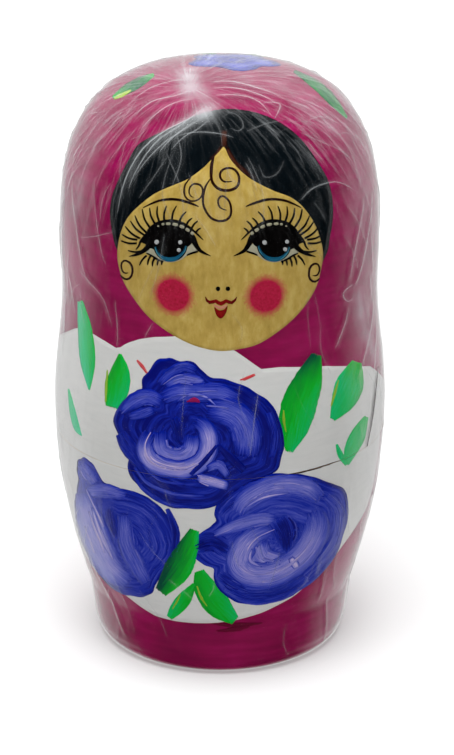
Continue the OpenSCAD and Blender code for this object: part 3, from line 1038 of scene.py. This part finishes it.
# Rose on the crown: front edge seen in the photograph, the rest guessed
crown = {
    "heart": (4, 1),  # millimetres right of and behind the doll's axis
    "radius": 12.5,
    "petals": 5,
    "petalDepth": 0.12,
    "petalTurn": 0.6,
    "rimPoints": 30,
    "cell": 0.9 * mm,
    "ragged": 0.05,
    "baseMilk": 0.12,
    "ring": (0.62, 0.2),  # pale ring, its middle and width as shares of the radius
    "ringMilk": (0.2, 0.3),  # all round, and more on the petals
    "spot": (0.16, 0.25),  # pale heart, its width as a share of the radius and its milk
    # leaves in front: pixels, widths, milk
    "leaves": [([(113, 98), (124, 91), (140, 82), (154, 74.5)], [3, 9, 10, 3], (0.5, 0.25, 0.15, 0.4)),
               ([(294, 71), (315, 84), (332, 100), (347, 118)], [3, 9, 10, 2], (0.14, 0.2, 0.2, 0.3))],
    "leafLook": {"across": 5, "ragged": 0.12},
    "sprig": [(114, 99), (121, 95.5), (131, 90.5)],
    "sprigWidths": [1.5, 4, 1.5],
    "sprigLook": {"milk": (0.6,), "ragged": 0.4},
    "backLeaves": [(160, 14), (205, 15)],  # degrees from the front, length
    "backLeafStart": 1.1,  # share of the rose's radius
    "backLeafWidths": (1.7 * mm, 5.7 * mm, 5.1 * mm, 0.4 * mm),
    "backLeafMilk": (0.3, 0.45, 0.6, 0.7),
}


def onCrown(right, back):  # millimetres from the axis, seen from above
    return skin.ray_cast(Vector((right * mm, back * mm, 1)), Vector((0, 0, -1)))[0]


def petalWave(turn):
    return math.cos(crown["petals"] * turn + crown["petalTurn"])


def paintCrown(painting):
    right, back = crown["heart"]
    rim = []
    for i in range(crown["rimPoints"]):
        turn = math.tau * i / crown["rimPoints"]
        reach = crown["radius"] * (1 + crown["petalDepth"] * petalWave(turn))
        rim.append(onCrown(right + reach * math.cos(turn), back + reach * math.sin(turn)))

    def milkAt(place, share):
        petal = 0.5 + 0.5 * petalWave(math.atan2(place.y / mm - back, place.x / mm - right))
        middle, wide = crown["ring"]
        least, more = crown["ringMilk"]
        ring = math.exp(-((share - middle) / wide) ** 2) * (least + more * petal)
        spotWide, spotMilk = crown["spot"]
        return crown["baseMilk"] + ring + spotMilk * math.exp(-(share / spotWide) ** 2)

    paintPatch(painting, rim, onCrown(right, back), "rose", layerOf["rose"], crown["cell"],
               crown["ragged"], milkAt)
    for pixels, widths, milk in crown["leaves"]:
        photoStroke(painting, pixels, widths, "leaf", layerOf["crownLeaf"], milk=milk, **crown["leafLook"])
    photoStroke(painting, crown["sprig"], crown["sprigWidths"], "sprig", layerOf["sprig"],
                **crown["sprigLook"])
    parts = len(crown["backLeafWidths"]) - 1
    for angle, length in crown["backLeaves"]:
        turn = math.radians(angle)
        start = crown["radius"] * crown["backLeafStart"]
        reaches = [start + length * i / parts for i in range(parts + 1)]
        path = [onCrown(right + r * math.sin(turn), back - r * math.cos(turn)) for r in reaches]
        brushStroke(painting, strokeOnDoll(path, crown["backLeafWidths"]), "leaf", layerOf["crownLeaf"],
                    crown["backLeafMilk"], **crown["leafLook"])


def paintDoll():
    painting = startPainting()
    paintApron(painting)
    paintFace(painting)
    for mirrored in (False, True):
        paintEye(painting, mirrored)
    for x, y, radius in glints:
        photoPatch(painting, circlePixels((x, y), radius, eye["glintPoints"]), (x, y), "glint",
                   layerOf["glint"], cell=eye["glintCell"])
    paintCurls(painting)
    paintLeaves(painting)
    for rose in roses:
        paintRose(painting, rose)
    photoStroke(painting, roseSmear["pixels"], roseSmear["widths"], "smear", layerOf["roseSmear"],
                **roseSmear["look"])
    paintCrown(painting)
    bm = painting["bm"]
    place = bm.verts.layers.float_vector.new("dollPlace")
    for vert in bm.verts:
        vert[place] = vert.co
    print("doll painted:", painting["count"], "dabs,", len(bm.faces), "faces")
    return bm


painted = paintDoll()


# Turned dolls. Gaps and crowns step evenly from the outer doll to the smallest hollow one, in millimetres
nest = {
    "names": ["outer", "second", "third", "fourth", "fifth", "sixth"],
    "gap": (2.8, 1.2),  # round the next doll
    "crown": (12, 4),  # wood over the hollow
    "lipShare": 0.5,  # of the wall at the seam, outside the joint
    "clearance": 0.08,
    "easeRoom": 2,  # the outline stops this many softened edges from the seam
    "paintGap": 0.05,  # the painting stops this far from the seam
    "socketRelief": 0.6,
    "collarChamfer": 0.5,
    "floorCorner": 3,
    "cornerSteps": 6,
    "cornerRoom": 1.1,  # the bowl's wall stops this many corners above the floor
    "level": 1e-6,  # nearer heights are level
}


def stepped(name, k):
    first, last = nest[name]
    return (first + (last - first) * k / (len(nest["names"]) - 1)) * mm


def dollSizes(k):  # where the frame puts doll k, and the radii of its joint
    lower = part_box(nest["names"][k] + "_lower_half")
    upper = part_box(nest["names"][k] + "_upper_half")
    inner = (nest["names"] + ["solid"])[k + 1]
    inner += "_doll" if inner == "solid" else "_lower_half"
    size = {"base": lower[0].z, "rim": lower[1].z, "seam": upper[0].z, "top": upper[1].z,
            "floor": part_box(inner)[0].z}
    size["scale"] = (size["top"] - size["base"]) / dollHeight
    size["seamRadius"] = size["scale"] * sideRadius(outerSeam / mm) * mm
    innerBelly = (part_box(inner)[1].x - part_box(inner)[0].x) / 2
    size["mouth"] = innerBelly + stepped("gap", k)
    size["socket"] = size["seamRadius"] - nest["lipShare"] * (size["seamRadius"] - size["mouth"])
    size["collar"] = size["socket"] - nest["clearance"] * mm
    return size


def placed(points, size):
    return [(r * size["scale"], size["base"] + z * size["scale"]) for r, z in points]


def lowerStrips(size):
    ease = dollShape["seamEase"] * mm * size["scale"]
    narrow = size["mouth"] / size["seamRadius"]
    corner = nest["floorCorner"] * mm * size["scale"]
    chamfer = nest["collarChamfer"] * mm
    foot = size["base"] + nest["level"] * mm
    outside = [p for p in placed(outline, size) if p[1] < size["seam"] - nest["easeRoom"] * ease]
    flat = [p for p in outside if p[1] <= foot]
    side = [flat[-1]] + [p for p in outside if p[1] > foot] + [(size["seamRadius"], size["seam"] - ease)]
    joint = [side[-1], (size["seamRadius"] - ease, size["seam"]), (size["collar"], size["seam"]),
             (size["collar"], size["rim"] - chamfer), (size["collar"] - chamfer, size["rim"]),
             (size["mouth"], size["rim"]), (size["mouth"], size["seam"])]
    wallEnd = size["floor"] + corner * nest["cornerRoom"]
    bowl = [(r * narrow, z) for r, z in reversed(outside) if z > wallEnd]
    cornerRadius = bowl[-1][0] - corner
    turns = [math.pi / 2 * i / nest["cornerSteps"] for i in range(nest["cornerSteps"] + 1)]
    bend = [(cornerRadius + corner * math.cos(t), size["floor"] + corner * (1 - math.sin(t))) for t in turns]
    return [(flat, 1), (side, 0), (joint + bowl + bend + [(0, size["floor"])], 1)]


def upperStrips(size, k):
    ease = dollShape["seamEase"] * mm * size["scale"]
    narrow = size["mouth"] / size["seamRadius"]
    step = size["rim"] + nest["socketRelief"] * mm
    roof = size["top"] - stepped("crown", k)
    squeeze = (roof - size["seam"]) / (size["top"] - size["seam"])
    outside = [p for p in placed(outline, size) if p[1] > size["seam"] + nest["easeRoom"] * ease]
    side = [(size["seamRadius"], size["seam"] + ease)] + outside
    hollow = [(r * narrow, size["seam"] + (z - size["seam"]) * squeeze) for r, z in outside]
    hollow = [p for p in hollow if p[1] > step]
    inside = [side[0], (size["seamRadius"] - ease, size["seam"]), (size["socket"], size["seam"]),
              (size["socket"], step), (hollow[0][0], step)] + hollow
    return [(side, 0), (inside, 1)]


def newPiece(name, bm, materials):
    mesh = bpy.data.meshes.new(name)
    bm.to_mesh(mesh)
    bm.free()
    for material in materials:
        mesh.materials.append(material)
    piece = bpy.data.objects.new(name, mesh)
    bpy.context.collection.objects.link(piece)
    return piece


def finishShell(name, strips, size, body, node):
    bm = bmesh.new()
    for points, finish in strips:
        spinStrip(bm, points, finish)
    closeSpin(bm)
    place = bm.verts.layers.float_vector.new("dollPlace")
    for vert in bm.verts:
        vert[place] = (vert.co - Vector((0, 0, size["base"]))) / size["scale"]
    piece = newPiece(name, bm, shellFinishes)
    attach(piece, body)
    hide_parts(node)


def finishPaint(name, size, body, keepAbove):  # a copy of the painting at the doll's size, cut at the seam
    bm = painted.copy()
    if keepAbove is not None:
        geom = list(bm.verts) + list(bm.edges) + list(bm.faces)
        cut = outerSeam + nest["paintGap"] * mm * (1 if keepAbove else -1)
        bmesh.ops.bisect_plane(bm, geom=geom, dist=brushLook["mergeGap"], plane_co=(0, 0, cut),
                               plane_no=(0, 0, 1), clear_inner=keepAbove, clear_outer=not keepAbove)
    bm.transform(Matrix.Translation((0, 0, size["base"])) @ Matrix.Scale(size["scale"], 4))
    piece = newPiece(name, bm, [finishes[f] for f in finishOrder])
    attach(piece, body)


for k, doll in enumerate(nest["names"]):
    size = dollSizes(k)
    for half, above, strips in (("lower", False, lowerStrips(size)), ("upper", True, upperStrips(size, k))):
        node = doll + "_" + half + "_half"
        finishShell(doll + "_" + half + "_wood", strips, size, node, node)
        finishPaint(doll + "_" + half + "_paint", size, node, above)
    print(doll, "doll ready, scale", round(size["scale"], 3))
solidLow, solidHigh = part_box("solid_doll")
solidSize = {"base": solidLow.z, "scale": (solidHigh.z - solidLow.z) / dollHeight}
solidOutline = placed(outline, solidSize)
solidStrips = [(solidOutline[:2], 1), (solidOutline[1:], 0)]
finishShell("solid_doll_wood", solidStrips, solidSize, "solid_doll", "solid_doll")
finishPaint("solid_doll_paint", solidSize, "solid_doll", None)
painted.free()
print("solid doll ready")


# Clear film round the outer doll, in two pieces that meet at the seam
film = {
    "turnSteps": 320,
    "cell": 0.95 * mm,
    "lift": 0.3 * mm,  # over the wood, clear of the paint
    "hem": 0.9 * mm,  # lower edge above the floor
    "seamGap": 0.1 * mm,  # each film's edge from the seam
    # pixels along a fold, height and half width in millimetres, haze and painted highlight
    "folds": [
        ([(205, 110), (188, 121), (164, 133), (142, 152), (126, 182), (118, 214)], 0.4, 0.6, 0.3),
        ([(202, 112), (180, 127), (158, 142), (140, 166), (129, 190)], 0.35, 0.6, 0.26),
        ([(207, 116), (186, 130), (168, 141), (150, 158), (136, 176)], 0.3, 0.5, 0.2),
        ([(196, 122), (176, 136), (160, 152)], 0.3, 0.5, 0.22),
        ([(210, 120), (198, 130), (184, 138), (172, 150)], 0.25, 0.5, 0.16),
        ([(176, 137), (196, 133), (216, 134), (234, 138)], 0.25, 0.5, 0.14),
        ([(196, 92), (176, 98), (152, 104), (134, 120)], 0.5, 0.8, 0.22),
        ([(192, 82), (170, 84), (148, 92), (128, 108)], 0.45, 0.8, 0.16),
        ([(194, 100), (172, 106), (154, 118), (138, 136)], 0.4, 0.7, 0.22),
        ([(210, 84), (232, 84), (256, 90), (284, 100)], 0.5, 0.8, 0.3),
        ([(212, 90), (234, 90), (258, 96), (278, 106)], 0.4, 0.6, 0.24),
        ([(214, 97), (236, 97), (256, 102), (272, 118)], 0.4, 0.7, 0.22),
        ([(262, 104), (279, 106), (274, 120)], 0.4, 0.7, 0.2),
        ([(224, 118), (230, 114), (239, 118), (243, 127), (238, 132), (229, 128)], 0.3, 0.5, 0.07),
        ([(258, 164), (264, 177), (276, 174), (284, 160)], 0.3, 0.5, 0.06),
        ([(262, 124), (272, 132), (280, 144)], 0.3, 0.5, 0.06),
        ([(286, 140), (296, 152), (304, 168)], 0.3, 0.5, 0.06),
        ([(299, 201), (312, 188), (335, 182), (354, 191)], 0.3, 0.5, 0.16),
        ([(362, 196), (357, 226), (351, 256), (347, 283)], 0.6, 0.8, 0.18),
        ([(370, 190), (366, 230), (360, 262), (352, 288)], 0.6, 0.8, 0.2),
        ([(347, 306), (343, 322), (338, 336), (333, 350)], 0.5, 0.7, 0.2),
        ([(352, 284), (346, 287), (341, 294), (346, 301), (353, 296)], 0.4, 0.5, 0.22),
        ([(372, 300), (368, 330), (362, 356), (356, 380)], 0.5, 0.8, 0.16),
        ([(74, 180), (78, 220), (84, 262), (92, 286)], 0.5, 0.8, 0.16),
        ([(96, 196), (99, 226), (103, 250), (107, 264)], 0.35, 0.5, 0.14),
        ([(80, 268), (92, 282), (106, 300), (114, 330)], 0.4, 0.7, 0.12),
        ([(116, 298), (118, 316), (119, 334), (118, 348)], 0.3, 0.5, 0.12),
        ([(380, 364), (376, 392), (371, 420), (366, 447)], 0.3, 0.8, 0.16),
        ([(86, 560), (94, 590), (100, 620), (104, 650)], 0.6, 0.9, 0.12),
    ],
    # pixels along a whitish patch, partly the film's own haze and partly painted reflection, half width in
    # pixels, haze
    "clouds": [
        ([(188, 72), (190, 88), (200, 100), (206, 110)], 11, 0.3),
        ([(204, 112), (180, 128), (156, 144)], 8, 0.12),
        ([(64, 190), (63, 260), (64, 330)], 8, 0.22),
        ([(380, 170), (382, 250), (384, 340)], 9, 0.26),
        ([(358, 300), (364, 330), (372, 352)], 12, 0.16),
        ([(100, 130), (84, 170), (76, 210)], 16, 0.06),
        ([(340, 130), (356, 170), (364, 210)], 18, 0.04),
        ([(250, 80), (300, 96), (330, 130)], 16, 0.06),
    ],
    # painted shade: dark strips along the film's folded seam flap, at the right as the camera sees it:
    # pixels, width
    "flapShadeLines": [([(377, 366), (374.5, 392), (371, 420), (366, 446)], 1.3),
                  ([(384, 412), (383, 426), (381.5, 438)], 2.2)],
    "flapShadeShape": (0.4, 1, 0.6),  # width along a shade strip, as shares
    "flapShadeLift": 0.08 * mm,  # over the film
    "flapShadeSegments": 20,
    "flapShadeStops": [(0.2, "#3b2b29"), (0.5, "#5c4a47"), (0.8, "#8d7f7c")],
    "flapShadeStreaks": 0.8,
    "calm": [(150, 200), (190, 160), (222, 140), (258, 160), (300, 200)],  # smoother over the hair
    "calmHalf": 36,
    "bunch": (190, 88),  # pixel where the film is gathered on the crown
    "pullTurns": 22,  # fine pleats run out from the bunch
    "pullLength": 14 * mm,
    "foldSheenSpread": 0.25,  # share of a fold's haze and painted highlight that spreads beside its glint
    "foldTaper": 6,  # a fold fades out in a sixth of its length
    "foldParts": 12,  # straight parts that a fold is measured along
    "foldReach": 4,  # half widths, flat past them
    "glintWidth": 0.34 * mm,
    "glintLift": 0.05 * mm,
    "glintSegments": 14,
    "glintSwell": 0.7,  # below 1 keeps a glint broad towards its ends
    "leastHazeAndSheen": 0.01,  # thinner cloud has no grain
    "cloudGrain": 180,
    "cloudSwing": 1.1,
    "cloudRange": (0.1, 1.8),
    "crownCrinkle": (0.2, 138 * mm, 28 * mm),  # strength, where it starts and how far up it is full
    "flankCrinkle": (0.07, 3),  # strength, and how narrowly at the sides
    "calmShare": 0.95,
}
# Small folds all over the film, in millimetres
strays = {
    "count": 300,
    "seed": 11,
    "topShare": 0.5,  # of them on the crown
    "crownHeights": (126, 53.5),  # start and rise
    "sideHeights": (4, 126),
    "lean": 0.35,  # radians
    "lengths": (5, 24),
    "bow": 0.08,
    "heights": (0.08, 0.35),
    "halfWidths": (0.5, 0.9),
    # haze and painted highlight of each small fold
    "hazeAndSheen": (0.01, 0.1),
}
filmLook = {
    "bends": 60.0,  # noise that bends the facets
    "bendDetail": 2.0,
    "bendReach": 0.02,
    "facets": (90.0, 230.0),  # coarse and fine
    "facetStretch": (1, 1, 0.55),
    "fineShare": 0.4,
    "pleatDetail": 5.0,
    "pleatRough": 0.65,
    "pleatShare": 0.8,
    "bumpHeight": 1.2 * mm,
    "mirror": (0.06, 0.92, 5.0),  # least, gain and power towards the edge
    "tint": (0.98, 0.98, 0.98, 1),
    "roughness": 0.1,
    # white along facet edges and pleats is painted highlight
    "lineSharpness": (60.0, 30.0),
    "fineLineShare": 0.5,
    "lineSheen": 0.15,
    "pleatLevel": 0.48,
    "pleatSheen": 4.0,
    # colour of the haze and of the painted highlight and reflection
    "hazeAndSheen": "#e6ebee",
}


def makeFilm():
    look = filmLook
    material = bpy.data.materials.new("clear_film")
    material.use_nodes = True
    tree = material.node_tree
    tree.nodes.clear()
    place = readMark(tree, "dollPlace", "Vector")
    crinkle = readMark(tree, "crinkle")
    bends = addNode(tree, "ShaderNodeTexNoise",
                    {"Vector": place, "Scale": look["bends"], "Detail": look["bendDetail"]})
    bent = addNode(tree, "ShaderNodeVectorMath", {0: bends.outputs["Color"], 1: (look["bendReach"],) * 3},
                   operation="MULTIPLY").outputs[0]
    moved = addNode(tree, "ShaderNodeVectorMath", {0: place, 1: bent}, operation="ADD").outputs[0]
    facets = []
    for scale in look["facets"]:
        stretched = addStretch(tree, moved, look["facetStretch"])
        facets.append(addNode(tree, "ShaderNodeTexVoronoi", {"Vector": stretched, "Scale": scale},
                              feature="DISTANCE_TO_EDGE").outputs["Distance"])
    coarse, fine = facets
    pleats = addNoise(tree, readMark(tree, "pull", "Vector"), detail=look["pleatDetail"],
                      rough=look["pleatRough"])
    ridges = addMath(tree, "ADD", coarse, addMath(tree, "MULTIPLY", fine, look["fineShare"]))
    ridges = addMath(tree, "ADD", ridges, addMath(tree, "MULTIPLY", pleats, look["pleatShare"]))
    bump = addNode(tree, "ShaderNodeBump",
                   {"Height": ridges, "Strength": crinkle, "Distance": look["bumpHeight"]})
    normal = bump.outputs["Normal"]
    facing = addNode(tree, "ShaderNodeLayerWeight", {"Blend": 0.5, "Normal": normal}).outputs["Facing"]
    least, gain, power = look["mirror"]
    shine = addMath(tree, "MULTIPLY_ADD", addMath(tree, "POWER", facing, power), gain)
    shine.node.inputs[2].default_value = least  # both sides of the film mirror the same share
    clear = addNode(tree, "ShaderNodeBsdfTransparent", {"Color": look["tint"]}).outputs[0]
    gloss = addNode(tree, "ShaderNodeBsdfGlossy",
                    {"Roughness": look["roughness"], "Normal": normal}).outputs[0]
    sheet = addNode(tree, "ShaderNodeMixShader", {0: shine, 1: clear, 2: gloss}).outputs[0]
    # painted highlight: facet edges and pleats of the crinkle are made white
    line, fineLine = (addMath(tree, "SUBTRACT", 1.0, addMath(tree, "MULTIPLY", facet, sharp), True)
                      for facet, sharp in zip(facets, look["lineSharpness"]))
    edgeHighlights = addMath(tree, "ADD", line, addMath(tree, "MULTIPLY", fineLine, look["fineLineShare"]))
    edgeHighlights = addMath(tree, "MULTIPLY", edgeHighlights, addMath(tree, "MULTIPLY", crinkle, look["lineSheen"]))
    pleat = addAbove(tree, pleats, look["pleatLevel"], look["pleatSheen"])
    edgeHighlights = addMath(tree, "ADD", edgeHighlights, addMath(tree, "MULTIPLY", pleat, crinkle))
    # painted reflection and highlight: white diffuse mixed in with the film's own haze
    hazeAndHighlight = addMath(tree, "ADD", readMark(tree, "hazeAndSheen"), edgeHighlights, True)
    white = addNode(tree, "ShaderNodeBsdfDiffuse", {"Color": colour(look["hazeAndSheen"])}).outputs[0]
    surface = addNode(tree, "ShaderNodeMixShader", {0: hazeAndHighlight, 1: sheet, 2: white}).outputs[0]
    output = addNode(tree, "ShaderNodeOutputMaterial", {"Surface": surface})
    output.is_active_output = True
    return material


def farFrom(points, path):  # distance of every point from a line of points, and how far along it is
    best = np.full(len(points), np.inf)
    along = np.zeros(len(points))
    for i, (a, b) in enumerate(zip(path, path[1:])):
        a, step = np.array(a), np.array(b - a)
        share = np.clip((points - a) @ step / max(step @ step, 1e-12), 0, 1)  # never divides by 0
        gap = np.linalg.norm(points - a - share[:, None] * step, axis=1)
        closer = gap < best
        best[closer] = gap[closer]
        along[closer] = ((i + share) / (len(path) - 1))[closer]
    return best, along


def strayFolds():  # outwards from the bunch on the crown, mostly upright on the sides
    dice = np.random.default_rng(strays["seed"])
    bunch = onPhoto(film["bunch"])
    crownLow, crownRise = strays["crownHeights"]
    for _ in range(strays["count"]):
        onTop = dice.random() < strays["topShare"]
        if onTop:
            height = crownLow + crownRise * math.sqrt(dice.random())
        else:
            height = dice.uniform(*strays["sideHeights"])
        start = onSide(dice.uniform(-180, 180), height)
        normal = skin.find_nearest(start)[1]
        lean = dice.normal(0, strays["lean"])
        along = (start - bunch) if onTop else Vector((0, 0, -1))
        along = (along - normal * along.dot(normal)).normalized()
        along = along * math.cos(lean) + normal.cross(along) * math.sin(lean)
        length = dice.uniform(*strays["lengths"]) * mm
        bow = normal.cross(along) * dice.normal(0, strays["bow"]) * length
        path = [start, start + along * length / 2 + bow, start + along * length]
        path = [skin.find_nearest(p)[0] for p in path]
        stand = dice.uniform(*strays["heights"]) * mm
        half = dice.uniform(*strays["halfWidths"]) * mm
        yield path, stand, half, dice.uniform(*strays["hazeAndSheen"])


def allFolds():
    return [(onPhotos(path), h * mm, w * mm, foldSheen) for path, h, w, foldSheen in film["folds"]] + list(strayFolds())


def foldMarks(points, normals):  # how far the film stands off, how white it is from haze and painted highlight and reflection, and how crumpled
    stand = np.zeros(len(points))
    hazeAndSheen = np.zeros(len(points))
    for path, height, half, foldSheen in folds:
        near = [alongCurve(path, i / film["foldParts"]) for i in range(film["foldParts"] + 1)]
        reach = film["foldReach"] * half
        low = np.array([min(p[i] for p in near) for i in range(3)]) - reach
        high = np.array([max(p[i] for p in near) for i in range(3)]) + reach
        inside = np.nonzero(((points > low) & (points < high)).all(axis=1))[0]
        gap, along = farFrom(points[inside], near)
        taper = np.clip(np.minimum(along, 1 - along) * film["foldTaper"], 0, 1)
        ridge = np.exp(-(gap / half) ** 2) * taper
        stand[inside] = np.maximum(stand[inside], ridge * height)
        hazeAndSheen[inside] = np.maximum(hazeAndSheen[inside], ridge * foldSheen * film["foldSheenSpread"])
    for path, half, foldSheen in film["clouds"]:
        gap = farFrom(points, onPhotos(path))[0]
        patch = np.exp(-(gap / (half * photoView["pixelSize"])) ** 2) * foldSheen
        seen = patch > film["leastHazeAndSheen"]
        grain = np.array([noise.noise(Vector(p) * film["cloudGrain"]) for p in points[seen]])
        patch[seen] *= np.clip(1 + film["cloudSwing"] * grain, *film["cloudRange"])
        hazeAndSheen = hazeAndSheen + patch * (1 - hazeAndSheen)
    strength, start, rise = film["crownCrinkle"]
    crinkle = strength * np.clip((points[:, 2] - start) / rise, 0, 1)
    strength, power = film["flankCrinkle"]
    crinkle += strength * np.abs(normals[:, 0]) ** power
    gap = farFrom(points, onPhotos(film["calm"]))[0]
    crinkle *= 1 - film["calmShare"] * np.exp(-(gap / (film["calmHalf"] * photoView["pixelSize"])) ** 2)
    return stand, hazeAndSheen, crinkle


def pleatMarks(points):  # angle and distance from the bunch, for the fine pleats
    bunch = onPhoto(film["bunch"])
    normal = skin.find_nearest(bunch)[1]
    right = Vector((1, 0, 0)).cross(normal).normalized()
    ahead = normal.cross(right)
    away = points - np.array(bunch)
    turn = np.arctan2(away @ np.array(right), away @ np.array(ahead))
    far = np.linalg.norm(away, axis=1) / film["pullLength"]
    return np.stack([np.cos(turn) * film["pullTurns"], np.sin(turn) * film["pullTurns"], far], axis=1)


# painted shade: dark strips laid on the film along its folded seam flap
def addFlapShade(bm, low, high):
    for pixels, width in film["flapShadeLines"]:
        at = strokeOnPhoto(pixels, [width * share for share in film["flapShadeShape"]])
        strip = bmesh.ops.create_grid(bm, x_segments=film["flapShadeSegments"], y_segments=1, size=1)["verts"]
        for vert in strip:
            spot, normal = skin.find_nearest(at((vert.co.x + 1) / 2, vert.co.y))[:2]
            spot.z = min(max(spot.z, low), high)
            vert.co = spot + normal * (film["lift"] + film["flapShadeLift"])
        for face in {f for vert in strip for f in vert.link_faces}:
            face.material_index = 1


def addGlints(bm, layers, place, low, high):  # painted highlights: thin pale strips where the folds catch the light
    for path, height, _, foldSheen in folds:
        if not all(low < p.z < high for p in path):
            continue
        at = strokeOnDoll(path, [film["glintWidth"]])
        strip = bmesh.ops.create_grid(bm, x_segments=film["glintSegments"], y_segments=1, size=1)["verts"]
        for vert in strip:
            share = (vert.co.x + 1) / 2
            swell = math.sin(math.pi * share) ** film["glintSwell"]
            spot, normal = skin.find_nearest(at(share, vert.co.y * swell))[:2]
            ridge = height * min(min(share, 1 - share) * film["foldTaper"], 1)
            vert[place] = spot
            vert[layers["hazeAndSheen"]] = foldSheen
            vert.co = spot + normal * (film["lift"] + ridge + film["glintLift"])


def makeWrap(name, low, high, body, node):
    fine = [p for p in outlineOf(film["cell"]) if low < p[1] < high and p[0] > 0]
    ends = [(sideRadius(z / mm) * mm, z) for z in (low, high) if z < dollHeight]
    points = sorted(fine + ends, key=lambda p: p[1]) if len(ends) == 2 else ends + fine + [(0, dollHeight)]
    bm = bmesh.new()
    spinStrip(bm, points, 0, film["turnSteps"])
    closeSpin(bm)
    spots = np.array([v.co for v in bm.verts])
    normals = np.array([skin.find_nearest(v.co)[1] for v in bm.verts])
    stand, hazeAndSheen, crinkle = foldMarks(spots, normals)
    # painted highlight and reflection, with the film's own haze, carried as a mark on the mesh
    marks = {"hazeAndSheen": hazeAndSheen, "crinkle": crinkle}
    pleats = pleatMarks(spots)
    layers = {key: bm.verts.layers.float.new(key) for key in marks}
    place = bm.verts.layers.float_vector.new("dollPlace")
    pull = bm.verts.layers.float_vector.new("pull")
    for i, vert in enumerate(bm.verts):
        vert[pull] = pleats[i]
        vert[place] = vert.co
        vert.co = spots[i] + normals[i] * (film["lift"] + stand[i])
        for key, layer in layers.items():
            vert[layer] = marks[key][i]
    flatArea = sum(face.calc_area() for face in bm.faces)
    addGlints(bm, layers, place, low, high)
    if high == dollHeight:
        addFlapShade(bm, low, high)
    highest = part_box(node)[1].z
    for vert in bm.verts:
        vert.co.z = min(vert.co.z, highest)
    piece = newPiece(name, bm, [clearFilm, flapShadeFilm])
    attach(piece, body)
    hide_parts(node)
    length = sum(math.dist(a, b) for a, b in zip(points, points[1:]))


folds = allFolds()
clearFilm = makeFilm()
# painted shade of the film's seam flap
flapShadeFilm = makePigment("film_flap_shade", film["flapShadeStops"], film["flapShadeStreaks"])
makeWrap("wrap_lower", film["hem"], outerSeam - film["seamGap"], "outer_lower_half", "film_lower")
makeWrap("wrap_upper", outerSeam + film["seamGap"], dollHeight, "outer_upper_half", "film_upper")


# Floor and light
studio = {
    "floorSide": 6.0,
    "floorStops": [(0.0, "#c2c2c2"), (1.0, "#c8c8c8")],
    "floorNoise": 3.0,
    "floorRoughness": 0.9,
    "floorGloss": 0.2,
    "floorGlow": 0.32,  # painted light: the floor glows white by itself, more strongly away from the doll
    "floorBright": (0.3, 1.1),  # metres from the doll where it gets brighter, up to white
    "frontGlow": 0.0,  # how bright the room is in front of the doll
    "backGlow": 0.9,  # and the white backdrop behind it
    "glowDepths": (-0.1, 0.5),  # where one turns into the other
    "keyPlace": (-0.05, -0.28, 1.35),
    "keyAim": (0, 0, 0.1),
    "keySide": 0.85,
    "keyPower": 27,
    "fillPlace": (-0.25, -1.5, 0.75),
    "fillAim": (0, 0, 0.08),
    "fillSide": 1.1,
    "fillPower": 3.5,
}


def makeLight(name, kind):  # lights the doll without a glare on the film
    lamp = bpy.data.lights.new(name, "AREA")
    lamp.shape = "SQUARE"
    lamp.size = studio[kind + "Side"]
    lamp.energy = studio[kind + "Power"]
    place = Vector(studio[kind + "Place"])
    made = bpy.data.objects.new(name, lamp)
    made.location = place
    made.rotation_euler = (Vector(studio[kind + "Aim"]) - place).to_track_quat("-Z", "Y").to_euler()
    made.visible_glossy = False
    bpy.context.collection.objects.link(made)


def addRange(tree, value, span, low, high, **settings):
    return addNode(tree, "ShaderNodeMapRange", {"Value": value, "From Min": span[0], "From Max": span[1],
                                               "To Min": low, "To Max": high}, **settings).outputs["Result"]


def makeWorld():  # a white backdrop behind and beside the doll, a dim room in front
    world = bpy.data.worlds.new("studio_world")
    world.use_nodes = True
    tree = world.node_tree
    ray = addNode(tree, "ShaderNodeTexCoord").outputs["Generated"]
    depth = addNode(tree, "ShaderNodeSeparateXYZ", {"Vector": ray}).outputs["Y"]
    glow = addRange(tree, depth, studio["glowDepths"], studio["frontGlow"], studio["backGlow"],
                    interpolation_type="SMOOTHSTEP")
    seen = addNode(tree, "ShaderNodeLightPath").outputs["Is Camera Ray"]
    tree.links.new(addMath(tree, "MAXIMUM", glow, seen), tree.nodes["Background"].inputs["Strength"])
    tree.nodes["Background"].inputs["Color"].default_value = (1, 1, 1, 1)
    bpy.context.scene.world = world


def makeStudio():
    bm = bmesh.new()
    bmesh.ops.create_grid(bm, x_segments=1, y_segments=1, size=studio["floorSide"] / 2)
    material, tree, shader = newFinish("studio_floor", studio["floorRoughness"], studio["floorGloss"])
    shader.inputs["Emission Color"].default_value = (1, 1, 1, 1)
    place = addNode(tree, "ShaderNodeTexCoord").outputs["Object"]
    far = addNode(tree, "ShaderNodeVectorMath", {0: place}, operation="LENGTH").outputs["Value"]
    # painted light: the floor's glow grows with distance from the doll
    glow = addRange(tree, far, studio["floorBright"], studio["floorGlow"], 1.0)
    tree.links.new(glow, shader.inputs["Emission Strength"])
    grey = addRamp(tree, addNoise(tree, place, studio["floorNoise"]), studio["floorStops"])
    tree.links.new(grey, shader.inputs["Base Color"])
    floor = newPiece("studio_floor", bm, [material])
    floor.visible_glossy = False
    makeWorld()
    bpy.context.scene.view_settings.view_transform = "Standard"
    makeLight("key_light", "key")
    makeLight("fill_light", "fill")
    print("studio ready")


makeStudio()
